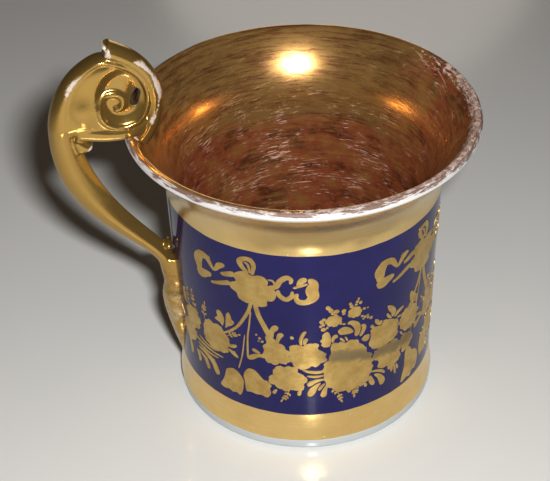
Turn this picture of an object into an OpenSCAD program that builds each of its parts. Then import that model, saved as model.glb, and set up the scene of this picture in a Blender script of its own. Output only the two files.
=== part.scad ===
// Gilt and cobalt porcelain cup with a flared lip and a high scroll handle.
// The cup stands on z = 0 with its axis on Z, and the handle reaches out along -X.

/* [Cup] */
// Height of the cup, from the table to the top of the lip
cup_h = 85.5; // [76:0.5:100]
// Outer radius of the lip
rim_r = 46; // [42:0.5:52]
// Outer radius of the wall where the flare begins
wall_top_r = 36.4; // [35:0.1:38]
// Outer radius of the wall at its slimmest, on top of the lower gilt band
wall_low_r = 35; // [33:0.1:36]
// Thickness of the porcelain wall
wall_t = 3; // [2.2:0.1:4]
// Thickness of the floor
floor_t = 4; // [2.5:0.1:7]
// Radius of the rounded corner inside, between floor and wall
floor_fillet_r = 8; // [3:0.5:14]
// Radius of the rounded lip, half its thickness
lip_r = 1.3; // [0.9:0.1:1.8]

/* [Foot] */
// Outer radius of the foot
foot_r = 35.7; // [34:0.1:37]
// Height of the bare white foot
foot_h = 3.2; // [2:0.1:5]
// Rounding of the foot's outer edge
foot_round_r = 0.9; // [0.3:0.1:1.5]
// Width of the ring that the cup stands on
foot_ring_w = 4; // [2:0.1:8]
// Depth of the recess inside that ring
foot_recess = 1.8; // [0.8:0.1:2.5]

/* [Bands] */
// Height of the seam between the lower gilt band and the blue ground
base_band_z = 12; // [8:0.5:20]
// Height of the seam between the blue ground and the upper gilt band
neck_band_z = 66; // [58:0.5:70]
// Height of bare white lip left above the upper gilt band
lip_white = 2.8; // [2.4:0.1:6]
// Angle round the lip where the gilding inside ends, with 90 on the lip's crest
gilt_lip_angle = 72; // [60:1:110]
// Thickness of a fired coat of colour or gold
coat_t = 0.15; // [0.1:0.01:0.3]

/* [Scroll] */
// Reach of the scroll's centre outside the lip
scroll_out = 3.3; // [1:0.1:6]
// Height of the scroll's centre above the lip
scroll_up = 10.9; // [10:0.1:14]
// Radius of the scroll's face
scroll_r = 11.5; // [10:0.1:13]
// Thickness of the scroll from side to side
scroll_t = 7; // [5:0.1:9]
// Depth of the dish sunk in each side of the scroll
dish_depth = 1.25; // [0.6:0.05:1.5]
// Height of the volute's inner turn above the dish
turn_h = 0.85; // [0.4:0.05:1.2]
// Height of the thumb spur above the scroll's band
spur_h = 2.2; // [1.4:0.1:3.2]
// Length of the pierced eye
eye_l = 4.6; // [3:0.1:5.4]
// Width of the pierced eye
eye_w = 1.9; // [1:0.1:2.4]
// Radius of the small rolls that end the scroll and the stem
bead_r = 1.4; // [0.8:0.1:2]

/* [Stem and leaf] */
// Height where the stem leaves the wall
stem_z = 43; // [38:0.5:50]
// Width of the stem at the wall, seen from the side
stem_low_w = 4.4; // [3.5:0.1:6]
// Width of the stem at the scroll, seen from the side
stem_top_w = 6.6; // [5:0.1:8]
// Thickness of the stem at the wall, from side to side
stem_low_t = 5.4; // [4:0.1:7]
// Straight pull of the stem's curve up the wall
stem_low_pull = 9; // [6:0.5:14]
// Straight pull of the stem's curve below the scroll
stem_top_pull = 28; // [18:0.5:30]
// How far the stem swells below the scroll
stem_belly = 1.2; // [0:0.1:1.8]
// Share by which the stem thins toward the finger gap
stem_thinning = 0.55; // [0:0.05:0.7]
// Height of the leaf's tip above the table
leaf_tip_z = 11.5; // [5:0.5:20]
// Greatest width of the leaf
leaf_w = 9.4; // [6:0.1:12]
// Greatest height of the leaf off the wall
leaf_d = 4.6; // [3:0.1:6]

/* [Joints] */
// Thickness of the slip that holds the handle to the cup
slip_t = 0.4; // [0.35:0.05:0.8]
// How far the slip stays inside the handle's edges
slip_margin = 1.6; // [1.2:0.1:2]
// Clearance between a fired coat and the porcelain under it
coat_gap = 0.02; // [0.01:0.01:0.05]

/* [Hidden] */

$fn = 96;
far = 200;

porcelain = [0.93, 0.93, 0.95];
slip_white = [0.86, 0.85, 0.82];
cobalt = [0.10, 0.09, 0.30];
gold = [0.80, 0.63, 0.28];
worn_gold = [0.52, 0.26, 0.12];

// The lip's centre, the flare's ends and the floor
lip_x = rim_r - lip_r;
lip_z = cup_h - lip_r;
lip_angle = 45;
flare_top = [lip_x + lip_r * cos(lip_angle), lip_z - lip_r * sin(lip_angle)];
inner_top = [lip_x - lip_r * cos(lip_angle), lip_z + lip_r * sin(lip_angle)];
inner_flare_z = neck_band_z - 2;
inner_wall_r = wall_top_r - wall_t;
inner_low_r = wall_low_r - wall_t;
floor_z = foot_recess + floor_t;
coat_top = coat_gap + coat_t;

// Points along each rounded stretch of the profile
arc_steps = 8;
band_steps = 6;
wall_steps = 12;
flare_steps = 16;

// Slope of the wall where the flare takes over
wall_bow = 1.6;
seam_slope = wall_bow * (wall_top_r - wall_low_r) / (neck_band_z - base_band_z);

function mix(a, b, t) = a + (b - a) * t;

// Radius of the outer wall at a height inside each of its three bands
function base_radius(z) =
    let (t = (z - foot_h) / (base_band_z - foot_h))
    wall_low_r + (foot_r - wall_low_r) * pow(1 - t, 2);
function ground_radius(z) =
    wall_low_r + (wall_top_r - wall_low_r) * pow((z - base_band_z) / (neck_band_z - base_band_z), wall_bow);
function flare_radius(z) =
    let (run = flare_top[1] - neck_band_z, t = (z - neck_band_z) / run)
    wall_top_r + seam_slope * run * t + (flare_top[0] - wall_top_r - seam_slope * run) * t * t;
function inner_flare_radius(z) =
    let (t = (z - inner_flare_z) / (inner_top[1] - inner_flare_z))
    inner_wall_r + (inner_top[0] - inner_wall_r) * t * t;

function stretch(z0, z1, steps) = [for (i = [0:steps]) mix(z0, z1, i / steps)];
function arc(centre, r, a0, a1) =
    [for (i = [0:arc_steps]) let (a = mix(a0, a1, i / arc_steps)) centre + r * [cos(a), sin(a)]];

// Profile stretches from the foot up the outside and down the inside, moved outward by g
function foot_side(g) =
    concat(arc([foot_r - foot_round_r, foot_round_r], foot_round_r + g, -90, 0), [[foot_r + g, foot_h]]);
function base_side(g) = [for (z = stretch(foot_h, base_band_z, band_steps)) [base_radius(z) + g, z]];
function ground_side(g) = [for (z = stretch(base_band_z, neck_band_z, wall_steps)) [ground_radius(z) + g, z]];
function flare_side(g, top) = [for (z = stretch(neck_band_z, top, flare_steps)) [flare_radius(z) + g, z]];
function inner_flare_side(g, top) =
    [for (z = stretch(top, inner_flare_z, flare_steps)) [inner_flare_radius(z) - g, z]];
function floor_side(g) =
    concat(arc([inner_low_r - floor_fillet_r, floor_z + floor_fillet_r], floor_fillet_r - g, 0, -90),
           [[0, floor_z + g]]);

function cup_outline(g) = concat(
    [[0, foot_recess], [foot_r - foot_ring_w, foot_recess], [foot_r - foot_ring_w, 0]],
    foot_side(g),
    base_side(g),
    ground_side(g),
    flare_side(g, flare_top[1]),
    arc([lip_x, lip_z], lip_r + g, -lip_angle, 180 - lip_angle),
    inner_flare_side(g, inner_top[1]),
    floor_side(g));

// A layer between a profile stretch and the same stretch moved out
module layer(near, off) {
    rotate_extrude()
        polygon(concat(near, [for (i = [len(off) - 1:-1:0]) off[i]]));
}

// The cup, and the room that the handle's slip needs round it
module cup_solid(g = 0) {
    rotate_extrude()
        polygon(cup_outline(g));
}

// Centre of the scroll as reach from the axis and height
scroll_c = [rim_r + scroll_out, cup_h + scroll_up];
half_t = scroll_t / 2;

// Angles round the scroll: 0 faces the cup's axis and 90 is up
tail_angle = 208;
spur_angle = 94;
spur_tip_angle = 87;
tail_end_angle = -46;
lip_end_angle = -60;

// Half widths of the bands and how far they leave the scroll's circle
tail_w = 0.083 * scroll_r;
tail_end_w = 0.075 * scroll_r;
tail_growth = 0.47 * scroll_r;
tail_rise = 0.05 * scroll_r;
tail_sink = 0.085 * scroll_r;
back_w = 0.18 * scroll_r;
back_out = 0.02 * scroll_r;
lip_reach = 0.26 * scroll_r;

// Half thicknesses, from the middle plane to each side
tail_half_t = 0.415 * scroll_t;
back_half_t = 0.45 * scroll_t;
face_h = 0.393 * scroll_t;

// How sharply the tail widens and leaves the circle, and the arcs over which it thins and rises
widen_power = 1.6;
leave_power = 3.4;
thin_arc = 70;
rise_arc = 18;

// How sharply the back falls from the spur, and drops onto the lip
spur_fall = 7;
lip_fall = 1.5;

// Where along the stem its belly sits, and how far its foot sinks into the wall
belly_power = 2.2;
stem_sink = 0.2;

// Number of stations along each sweep, and of sides round it
stem_steps = 18;
tail_steps = 22;
turn_steps = 3;
back_steps = 16;
chin_steps = 3;
band_sides = 18;
back_sides = 14;
chin_sides = 14;

function bezier(p, t) =
    pow(1 - t, 3) * p[0] + 3 * t * pow(1 - t, 2) * p[1] + 3 * t * t * (1 - t) * p[2] + pow(t, 3) * p[3];
function soft_step(low, high, v) = let (t = max(0, min(1, (v - low) / (high - low)))) t * t * (3 - 2 * t);

// A smooth line through a few places, with extra places between them
function spline(a, b, c, d, t) =
    (2 * b + (c - a) * t + (2 * a - 5 * b + 4 * c - d) * t * t + (3 * b - a - 3 * c + d) * pow(t, 3)) / 2;
function refine(line, steps) =
    let (last = len(line) - 1)
    concat([for (i = [0:last - 1], k = [0:steps - 1])
                spline(line[max(i - 1, 0)], line[i], line[i + 1], line[min(i + 2, last)], k / steps)],
           [line[last]]);

// A place round the scroll's centre, and one given by steps outward and upward from it
function round_scroll(r, a) = scroll_c + r * [-cos(a), sin(a)];
function on_scroll(out, up) = scroll_c + scroll_r * [out, up];

// Height of the scroll's face above its middle plane, at steps out and up from its centre
dish_middle = [-0.32, 0.08];
dish_reach = [0.64, 0.8];
dish_flat = 0.55;
face_fall = 0.4;
face_reach = 0.93;
function relief(p) =
    let (off = [p[0], p[1]] - dish_middle,
         dish = norm([off[0] / dish_reach[0], off[1] / dish_reach[1]]))
    face_h * (1 - face_fall * pow(norm([p[0], p[1]]), 8)) - dish_depth * soft_step(1, dish_flat, dish);

// The tail leaves the stem, runs over the top of the scroll and sinks inward to become the inner turn
function tail_share(a) = max(0, (a - spur_angle) / (tail_angle - spur_angle));
function inner_share(a) = max(0, (spur_angle - a) / (spur_angle - tail_end_angle));
function tail_half_w(a) =
    a > spur_angle
        ? mix(tail_w, stem_top_w / 2, pow(tail_share(a), widen_power))
        : mix(tail_w, tail_end_w, inner_share(a));
function tail_place(a) =
    let (away = tail_growth * pow(tail_share(a), leave_power) - tail_sink * inner_share(a),
         rise = tail_rise * exp(-pow((a - spur_angle) / rise_arc, 2)))
    round_scroll(scroll_r - tail_half_w(a) + away + rise, a);

// The stem's centre line rises along the wall, swings out and runs up into the scroll
stem_low = [ground_radius(stem_z) + stem_low_w / 2 - stem_sink, stem_z];
stem_top = tail_place(tail_angle);
tail_run = tail_place(tail_angle + 1) - stem_top;
stem_curve = [stem_low, stem_low + [0, stem_low_pull],
              stem_top + stem_top_pull * tail_run / norm(tail_run), stem_top];

// Each station of a sweep holds reach, height, half width in the plane, half thickness
// and the share by which it thins toward its inner side
function station(p, w, t, thin = 0) = [p[0], p[1], w, t, thin];
function stem_stations() = [for (i = [0:stem_steps])
    let (t = i / stem_steps,
         belly = stem_belly * sin(180 * pow(t, belly_power)))
    station(bezier(stem_curve, t), mix(stem_low_w, stem_top_w, t) / 2 + belly,
            mix(stem_low_t, scroll_t, t) / 2, stem_thinning * sqrt(sin(180 * t)))];

// A place on the stem's inner edge, beside one of its stations
roll_step = 3;
function stem_inner_edge(i) =
    let (s = stem_stations(),
         run = [s[i + 1][0] - s[i - 1][0], s[i + 1][1] - s[i - 1][1]],
         across = [-run[1], run[0]] / norm(run))
    [s[i][0], s[i][1]] + across * (s[i][2] + bead_r / 4);

function tail_stations() = [for (i = [1:tail_steps])
    let (a = mix(tail_angle, tail_end_angle, i / tail_steps),
         thinned = min(1, (tail_angle - a) / thin_arc))
    station(tail_place(a), tail_half_w(a), mix(half_t, tail_half_t, thinned))];

// The volute's inner turn runs on from the tail and hooks round its own hollow; each place
// holds steps out and up, a half width in scroll radii and a share of the turn's height
tail_end = (tail_place(tail_end_angle) - scroll_c) / scroll_r;
inner_turn = [[tail_end[0], tail_end[1], tail_end_w / scroll_r, 0.6], [-0.3, -0.66, 0.08, 0.65],
              [-0.01, -0.59, 0.09, 0.7], [0.17, -0.38, 0.105, 0.8], [0.21, -0.11, 0.115, 0.9],
              [0.08, 0.12, 0.12, 1], [-0.17, 0.15, 0.115, 1], [-0.33, 0, 0.105, 1],
              [-0.27, -0.2, 0.095, 1], [-0.12, -0.24, 0.08, 0.9]];
turn_end = inner_turn[len(inner_turn) - 1];
function turn_half_t(p) = relief(p) + turn_h * p[3];
function turn_stations() =
    let (line = refine(inner_turn, turn_steps))
    [for (i = [1:len(line) - 1])
        let (p = line[i])
        station(on_scroll(p[0], p[1]), p[2] * scroll_r, turn_half_t(p))];

// The round back of the scroll runs from the spur over the inner side and down onto the lip
function back_stations() = [for (i = [0:back_steps])
    let (t = i / back_steps,
         a = mix(spur_tip_angle, lip_end_angle, t),
         lift = spur_h * pow(1 - t, spur_fall),
         drop = a < 0 ? lip_reach * pow(a / lip_end_angle, lip_fall) : 0)
    station(round_scroll(scroll_r + back_out + lift + drop, a), back_w, back_half_t)];

// The underside runs from the stem to the back; each place holds steps out and up,
// a half width in scroll radii and a half thickness as a share of the scroll's
chin_line = [[0.72, -0.67, 0.24, 0.46], [0.42, -0.75, 0.21, 0.46], [0.05, -0.82, 0.19, 0.46],
             [-0.3, -0.84, 0.17, 0.45], [-0.6, -0.79, 0.18, 0.41], [-0.86, -0.63, 0.24, 0.36]];
function chin_stations() = [for (p = refine(chin_line, chin_steps))
    station(on_scroll(p[0], p[1]), p[2] * scroll_r, p[3] * scroll_t)];

// Knobs whose hull is the smooth cheek between the stem and the volute; each holds steps
// out and up, a radius in scroll radii and a half thickness as a share of the scroll's
cheek = [[0.9, -0.5, 0.34, 0.48], [0.5, -0.36, 0.44, 0.52], [0.52, 0.05, 0.34, 0.46]];

// Knobs whose hull is the roll under the scroll, with radii as shares of a roll's
under_roll = [[0.7, -1.13, 1, 0.42], [0.52, -1.11, 0.9, 0.39], [0.76, -0.92, 1, 0.42]];

// Corners of the thumb spur's step; each holds a step out, a share of the spur's height
// and a half thickness as a share of the scroll's
spur_corners = [[0.03, 1.62, 0.31], [-0.05, 1.8, 0.28], [-0.15, 0.42, 0.41],
                [-0.36, 1.05, 0.24], [-0.36, 0, 0.38]];
spur_edge_r = 0.02 * scroll_r;

// Middle and lean of the pierced eye
eye_place = [-0.59, 0];
eye_lean = 15;

// The leaf from its neck over a knuckle to its tip; each row holds a share of its length,
// and its height off the wall and half width as shares of the greatest
leaf_shape = [[0, 0.93, 0.6], [0.1, 0.9, 0.66], [0.2, 0.8, 0.74], [0.27, 0.74, 0.66], [0.36, 0.98, 0.92],
              [0.5, 0.92, 1], [0.66, 0.7, 0.8], [0.83, 0.42, 0.52], [1, 0.06, 0.1]];
leaf_steps = 26;
leaf_sides = 14;
leaf_flute = 0.13;
leaf_wave = 0.07;
leaf_ease = 0.04;
leaf_root = 1.5;
leaf_top_z = stem_z + stem_low_w / 2;
function low_radius(z) = z > base_band_z ? ground_radius(z) : base_radius(max(z, foot_h));
function leaf_share(t, column) =
    let (rows = [for (s = leaf_shape) [s[0], s[column]]])
    (lookup(t - leaf_ease, rows) + 2 * lookup(t, rows) + lookup(t + leaf_ease, rows)) / 4;

// One row across the leaf, fluted in front and closed behind the wall's face
function leaf_row(t) =
    let (z = mix(leaf_top_z, leaf_tip_z, t),
         wave = leaf_wave * sin(360 * (4.3 * t + 0.1)) * soft_step(0.3, 0.45, t),
         flute = leaf_flute * soft_step(0.28, 0.5, t),
         d = leaf_d * leaf_share(t, 1),
         w = leaf_w / 2 * leaf_share(t, 2) * (1 + wave),
         root = leaf_root - low_radius(z))
    concat([for (k = [0:leaf_sides])
                let (a = mix(-90, 90, k / leaf_sides))
                [-low_radius(z) - d * pow(cos(a), 0.75) * (1 - flute * (1 - cos(5 * a)) / 2), w * sin(a), z]],
           [[root, 0.9 * w, z], [root, -0.9 * w, z]]);

// Skin over rings of points, each with the same number of points
module skin(rings) {
    n = len(rings);
    sides = len(rings[0]);
    walls = [for (i = [0:n - 2], k = [0:sides - 1])
        let (a = i * sides + k,
             b = i * sides + (k + 1) % sides)
        [a, b, b + sides, a + sides]];
    ends = [[for (k = [sides - 1:-1:0]) k], [for (k = [0:sides - 1]) (n - 1) * sides + k]];
    polyhedron(points = [for (ring = rings) each ring], faces = concat(walls, ends), convexity = 6);
}

// Skin over a row of sections that stand square to a path in the handle's plane.
// A section with power 1 is an ellipse, and a lower power makes it squarer.
module sweep(stations, sides, power = 0.9) {
    n = len(stations);
    skin([for (i = [0:n - 1])
        let (s = stations[i],
             ahead = stations[min(i + 1, n - 1)],
             behind = stations[max(i - 1, 0)],
             run = [ahead[0] - behind[0], ahead[1] - behind[1]],
             across = [run[1], -run[0]] / norm(run))
        [for (k = [0:sides - 1])
            let (a = 360 * (k + 0.5) / sides,
                 u = sign(cos(a)) * pow(abs(cos(a)), power),
                 v = sign(sin(a)) * pow(abs(sin(a)), power),
                 p = [s[0], s[1]] + across * s[2] * u)
            [-p[0], s[3] * v * (1 - s[4] * (1 - u) / 2), p[1]]]]);
}

// An ellipsoid in the handle's plane, with its own half thickness
module knob(place, r, t, sides) {
    translate([-place[0], 0, place[1]])
        rotate([90, 0, 0])
            scale([1, 1, t / r])
                sphere(r, $fn = sides);
}

// A round pin through the handle from side to side
module cross_pin(place, r, t, sides = 40) {
    translate([-place[0], 0, place[1]])
        rotate([90, 0, 0])
            cylinder(r = r, h = 2 * t, center = true, $fn = sides);
}

// The scroll's disc, with a dish in each of its two faces
face_rings = 11;
face_turns = 36;
module face() {
    places = [for (i = [1:face_rings], k = [0:face_turns - 1])
        let (a = 360 * k / face_turns)
        face_reach * i / face_rings * [cos(a), sin(a)]];
    n = len(places);
    rim = n - face_turns;
    function spot(p, y) = let (q = on_scroll(p[0], p[1])) [-q[0], y, q[1]];
    front = [for (p = places) spot(p, -relief(p))];
    back = [for (p = places) spot(p, relief(p))];
    middle = [spot([0, 0], -relief([0, 0])), spot([0, 0], relief([0, 0]))];
    // cells between neighbouring rings, for the face whose points start at s
    function cells(s) = [for (i = [0:face_rings - 2], k = [0:face_turns - 1])
        let (a = s + i * face_turns + k, b = s + i * face_turns + (k + 1) % face_turns)
        each [[a, a + face_turns, b + face_turns], [a, b + face_turns, b]]];
    function fan(s, m) = [for (k = [0:face_turns - 1]) [m, s + k, s + (k + 1) % face_turns]];
    function turned(faces) = [for (f = faces) [f[2], f[1], f[0]]];
    edge = [for (k = [0:face_turns - 1])
        let (a = rim + k, b = rim + (k + 1) % face_turns)
        each [[a, n + a, n + b], [a, n + b, b]]];
    faces = concat(cells(0), fan(0, 2 * n), turned(concat(cells(n), fan(n, 2 * n + 1))), edge);
    polyhedron(points = concat(front, back, middle), faces = faces, convexity = 8);
}

module scroll() {
    // one band from the wall up the stem, over the scroll and into the volute
    sweep(concat(stem_stations(), tail_stations(), turn_stations()), band_sides);
    hull()
        knob(on_scroll(turn_end[0], turn_end[1]), turn_end[2] * scroll_r, turn_half_t(turn_end), 12);
    sweep(back_stations(), back_sides);
    sweep(chin_stations(), chin_sides, 0.7);
    face();
    hull()
        for (c = cheek)
            knob(on_scroll(c[0], c[1]), c[2] * scroll_r, c[3] * scroll_t, 20);
    hull()
        for (c = spur_corners)
            cross_pin(on_scroll(c[0], 1) + [0, c[1] * spur_h], spur_edge_r, c[2] * scroll_t, 8);
    hull()
        for (c = under_roll)
            knob(on_scroll(c[0], c[1]), c[2] * bead_r, c[3] * scroll_t, 14);
    // small roll where the stem leaves the wall
    hull()
        knob(stem_inner_edge(roll_step), 0.9 * bead_r, 0.45 * stem_low_t, 14);
}

module eye() {
    middle = on_scroll(eye_place[0], eye_place[1]);
    reach = (eye_l - eye_w) / 2 * [-sin(eye_lean), cos(eye_lean)];
    hull() {
        cross_pin(middle + reach, eye_w / 2, far);
        cross_pin(middle - reach, eye_w / 2, far);
    }
}

module leaf() {
    skin([for (i = [leaf_steps:-1:0]) leaf_row(i / leaf_steps)]);
}

// Patches where slip holds the handle to the lip and to the wall
module rim_patch() {
    inner = round_scroll(scroll_r + lip_reach, lip_end_angle)[0];
    outer = rim_r - lip_r / 4;
    margin = 1.2;
    translate([-outer, margin - half_t, flare_top[1] + slip_t])
        cube([outer - inner, scroll_t - 2 * margin, 4 * lip_r]);
}
module wall_patch() {
    half = leaf_w / 2 - slip_margin;
    neck = stem_low_t / 2 - 0.8 * slip_margin;
    top = leaf_top_z - stem_low_w / 4;
    middle = mix(leaf_top_z, leaf_tip_z, 0.45);
    tip = leaf_tip_z + 2 * slip_margin;
    rotate([90, 0, -90])
        linear_extrude(far)
            polygon([[-neck, top], [-half, middle], [0, tip], [half, middle], [neck, top]]);
}

module body() {
    color(porcelain)
        cup_solid();
}

module handle() {
    color(gold)
        difference() {
            union() {
                scroll();
                leaf();
            }
            eye();
            cup_solid(slip_t);
            cylinder(r = wall_low_r, h = neck_band_z);
        }
}

module rim_slip() {
    color(slip_white)
        intersection() {
            difference() {
                cup_solid(slip_t);
                cup_solid();
            }
            rim_patch();
        }
}

module wall_slip() {
    color(slip_white)
        intersection() {
            layer(concat(base_side(0), ground_side(0)), concat(base_side(slip_t), ground_side(slip_t)));
            wall_patch();
        }
}

module cobalt_ground() {
    color(cobalt)
        difference() {
            layer(ground_side(coat_gap), ground_side(coat_top));
            wall_patch();
        }
}

module neck_band() {
    color(gold)
        layer(flare_side(coat_gap, cup_h - lip_white), flare_side(coat_top, cup_h - lip_white));
}

module base_band() {
    color(gold)
        layer(base_side(coat_gap), base_side(coat_top));
}

function inner_side(g) = concat(
    arc([lip_x, lip_z], lip_r + g, gilt_lip_angle, 180 - lip_angle),
    inner_flare_side(g, inner_top[1]),
    floor_side(g));
module inner_gilding() {
    color(worn_gold)
        difference() {
            layer(inner_side(coat_gap), inner_side(coat_top));
            rim_patch();
        }
}

body();
handle();
rim_slip();
wall_slip();
cobalt_ground();
neck_band();
base_band();
inner_gilding();
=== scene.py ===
import math

import bmesh
import bpy
import numpy as np
from bpy.props import FloatProperty, FloatVectorProperty, IntProperty, PointerProperty
from mathutils import Matrix, Vector


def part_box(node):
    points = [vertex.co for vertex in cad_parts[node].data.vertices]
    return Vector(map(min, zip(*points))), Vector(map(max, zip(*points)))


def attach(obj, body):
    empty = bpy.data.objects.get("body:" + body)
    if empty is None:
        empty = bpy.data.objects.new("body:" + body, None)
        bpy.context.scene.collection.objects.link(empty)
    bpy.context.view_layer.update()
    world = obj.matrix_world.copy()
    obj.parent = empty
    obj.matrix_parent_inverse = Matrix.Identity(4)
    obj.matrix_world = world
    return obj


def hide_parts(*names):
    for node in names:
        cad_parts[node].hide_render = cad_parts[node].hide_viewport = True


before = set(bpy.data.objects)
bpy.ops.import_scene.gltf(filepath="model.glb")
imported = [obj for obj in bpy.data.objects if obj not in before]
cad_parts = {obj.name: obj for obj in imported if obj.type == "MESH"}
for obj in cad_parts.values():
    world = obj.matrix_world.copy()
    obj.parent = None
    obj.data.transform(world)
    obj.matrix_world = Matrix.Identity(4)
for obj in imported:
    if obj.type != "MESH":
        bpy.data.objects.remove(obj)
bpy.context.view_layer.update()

bl_info = {
    "name": "Gilt porcelain cup",
    "version": (1, 0, 0),
    "blender": (4, 5, 0),
    "location": "View3D > Sidebar > Cup",
    "description": "Dresses a porcelain cup with its glaze, gilding, garland and scroll handle",
    "category": "Add Mesh",
}

MM = 0.001
# Room between a fired coat's hidden face and the wall, in millimetres
COAT_BACK = 0.02
# Width of the picture in pixels
IMAGE_WIDTH = 550


def top_of(node, axis):
    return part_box(node)[1][axis]


def bottom_of(node, axis):
    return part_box(node)[0][axis]


def length(name, default, description):
    return FloatProperty(name=name, description=description, default=default, unit="LENGTH", precision=5)


def bearing(name, default, description):
    return FloatProperty(name=name, description=description, default=default, subtype="ANGLE")


def point(name, default, description):
    return FloatVectorProperty(name=name, description=description, default=default, size=3,
                               subtype="TRANSLATION")


def colour(name, default, description):
    return FloatVectorProperty(name=name, description=description, default=default, size=4,
                               min=0, max=1, subtype="COLOR")


class CupSizes(bpy.types.PropertyGroup):
    """Sizes of the turned cup"""
    rim_radius: length("Rim radius", top_of("body", 0), "Outer radius of the lip")
    height: length("Height", top_of("body", 2), "Height of the lip above the table")
    lip_radius: length("Lip rounding", 1.3 * MM, "Radius of the rounded lip")
    neck_radius: length("Neck radius", 36.4 * MM, "Radius of the wall at the upper seam")
    low_radius: length("Low radius", 35 * MM, "Radius of the wall at the lower seam")
    foot_radius: length("Foot radius", 35.7 * MM, "Radius of the foot")
    foot_height: length("Foot height", bottom_of("base_band", 2), "Height of the white foot ring")
    low_seam: length("Lower seam", bottom_of("cobalt_ground", 2), "Height where the cobalt starts")
    neck_seam: length("Upper seam", top_of("cobalt_ground", 2), "Height where the cobalt ends")
    wall: length("Wall", 3 * MM, "Thickness of the wall")
    floor: length("Floor", 5.8 * MM, "Height of the floor inside")
    coat: length("Coat", 0.15 * MM, "Thickness of a fired coat")
    turns: IntProperty(name="Turns", description="Faces round the cup", default=192, min=48, max=512)


class HandleSizes(bpy.types.PropertyGroup):
    """Sizes of the scroll handle"""
    scroll_out: length("Scroll reach", 3.3 * MM, "How far the scroll's centre stands out from the lip")
    scroll_up: length("Scroll rise", 10.9 * MM, "How far the scroll's centre stands above the lip")
    scroll_radius: length("Scroll radius", 11.5 * MM, "Radius of the scroll")
    thickness: length("Thickness", 7 * MM, "Thickness of the scroll from side to side")
    stem_height: length("Stem height", 43 * MM, "Height where the stem leaves the wall")
    leaf_tip: length("Leaf tip", bottom_of("handle", 2), "Height of the leaf's tip above the table")
    leaf_width: length("Leaf width", 9.4 * MM, "Greatest width of the leaf")
    grain: length("Grain", 0.2 * MM, "Size of the faces of the modelled clay")


class GarlandSizes(bpy.types.PropertyGroup):
    """Places and thickness of the gilt garland"""
    first_bow: bearing("First bow", math.radians(-123.7), "Angle of the first bow round the cup")
    spacing: bearing("Spacing", math.radians(80), "Angle from one bow to the next")
    thickness: length("Thickness", 0.05 * MM, "How far the gold stands on the cobalt")
    swell: length("Swell", 0.035 * MM, "How far petals and leaves are rounded")


class CupColours(bpy.types.PropertyGroup):
    """Colours of the finishes"""
    porcelain: colour("Porcelain", (0.82, 0.82, 0.83, 1), "Glazed white porcelain")
    cobalt: colour("Cobalt", (0.005, 0.0035, 0.062, 1), "Deep blue ground")
    gold: colour("Gold", (0.80, 0.57, 0.23, 1), "Burnished gold of the bands")
    garland: colour("Garland gold", (0.62, 0.43, 0.145, 1), "Gold of the garland")
    handle: colour("Handle gold", (0.43, 0.262, 0.064, 1), "Bright gold of the handle")
    bole: colour("Worn gilding", (0.31, 0.078, 0.030, 1), "Red brown that shows through worn gold")
    slip: colour("Slip", (0.74, 0.72, 0.68, 1), "Bare slip at the joints")
    table: colour("Table", (0.80, 0.80, 0.79, 1), "Pale table top")


class StudioSettings(bpy.types.PropertyGroup):
    """Camera and lamps"""
    eye: point("Camera", (-0.07026, -0.31973, 0.28889), "Place of the camera")
    aim: point("Aim", (-0.00781, 0.00152, 0.04397), "Point that the camera looks at")
    roll: bearing("Roll", -0.028, "Turn of the camera about its view")
    focal_pixels: FloatProperty(name="Focal length", default=1500,
                                description="Focal length in pixels of the picture")
    key_power: FloatProperty(name="Key lamp", description="Power of the key lamp in watts", default=1.98)
    key_size: length("Key size", 34 * MM, "Width of the key lamp")


def mix(a, b, t):
    return a + (b - a) * t


# Shader terms

class Term:
    """A shader socket that takes part in Python arithmetic."""

    def __init__(self, finish, socket):
        self.finish = finish
        self.socket = socket

    def _math(self, operation, first, second):
        return self.finish.node("ShaderNodeMath", {"operation": operation}, {0: first, 1: second})

    def __add__(self, other):
        return self._math("ADD", self, other)

    def __radd__(self, other):
        return self._math("ADD", other, self)

    def __sub__(self, other):
        return self._math("SUBTRACT", self, other)

    def __rsub__(self, other):
        return self._math("SUBTRACT", other, self)

    def __mul__(self, other):
        return self._math("MULTIPLY", self, other)

    def __rmul__(self, other):
        return self._math("MULTIPLY", other, self)

    def __truediv__(self, other):
        return self._math("DIVIDE", self, other)

    def __pow__(self, other):
        return self._math("POWER", self, other)

    def highest(self, other):
        return self._math("MAXIMUM", self, other)

    def arctan2(self, other):
        return self._math("ARCTAN2", self, other)


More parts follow.
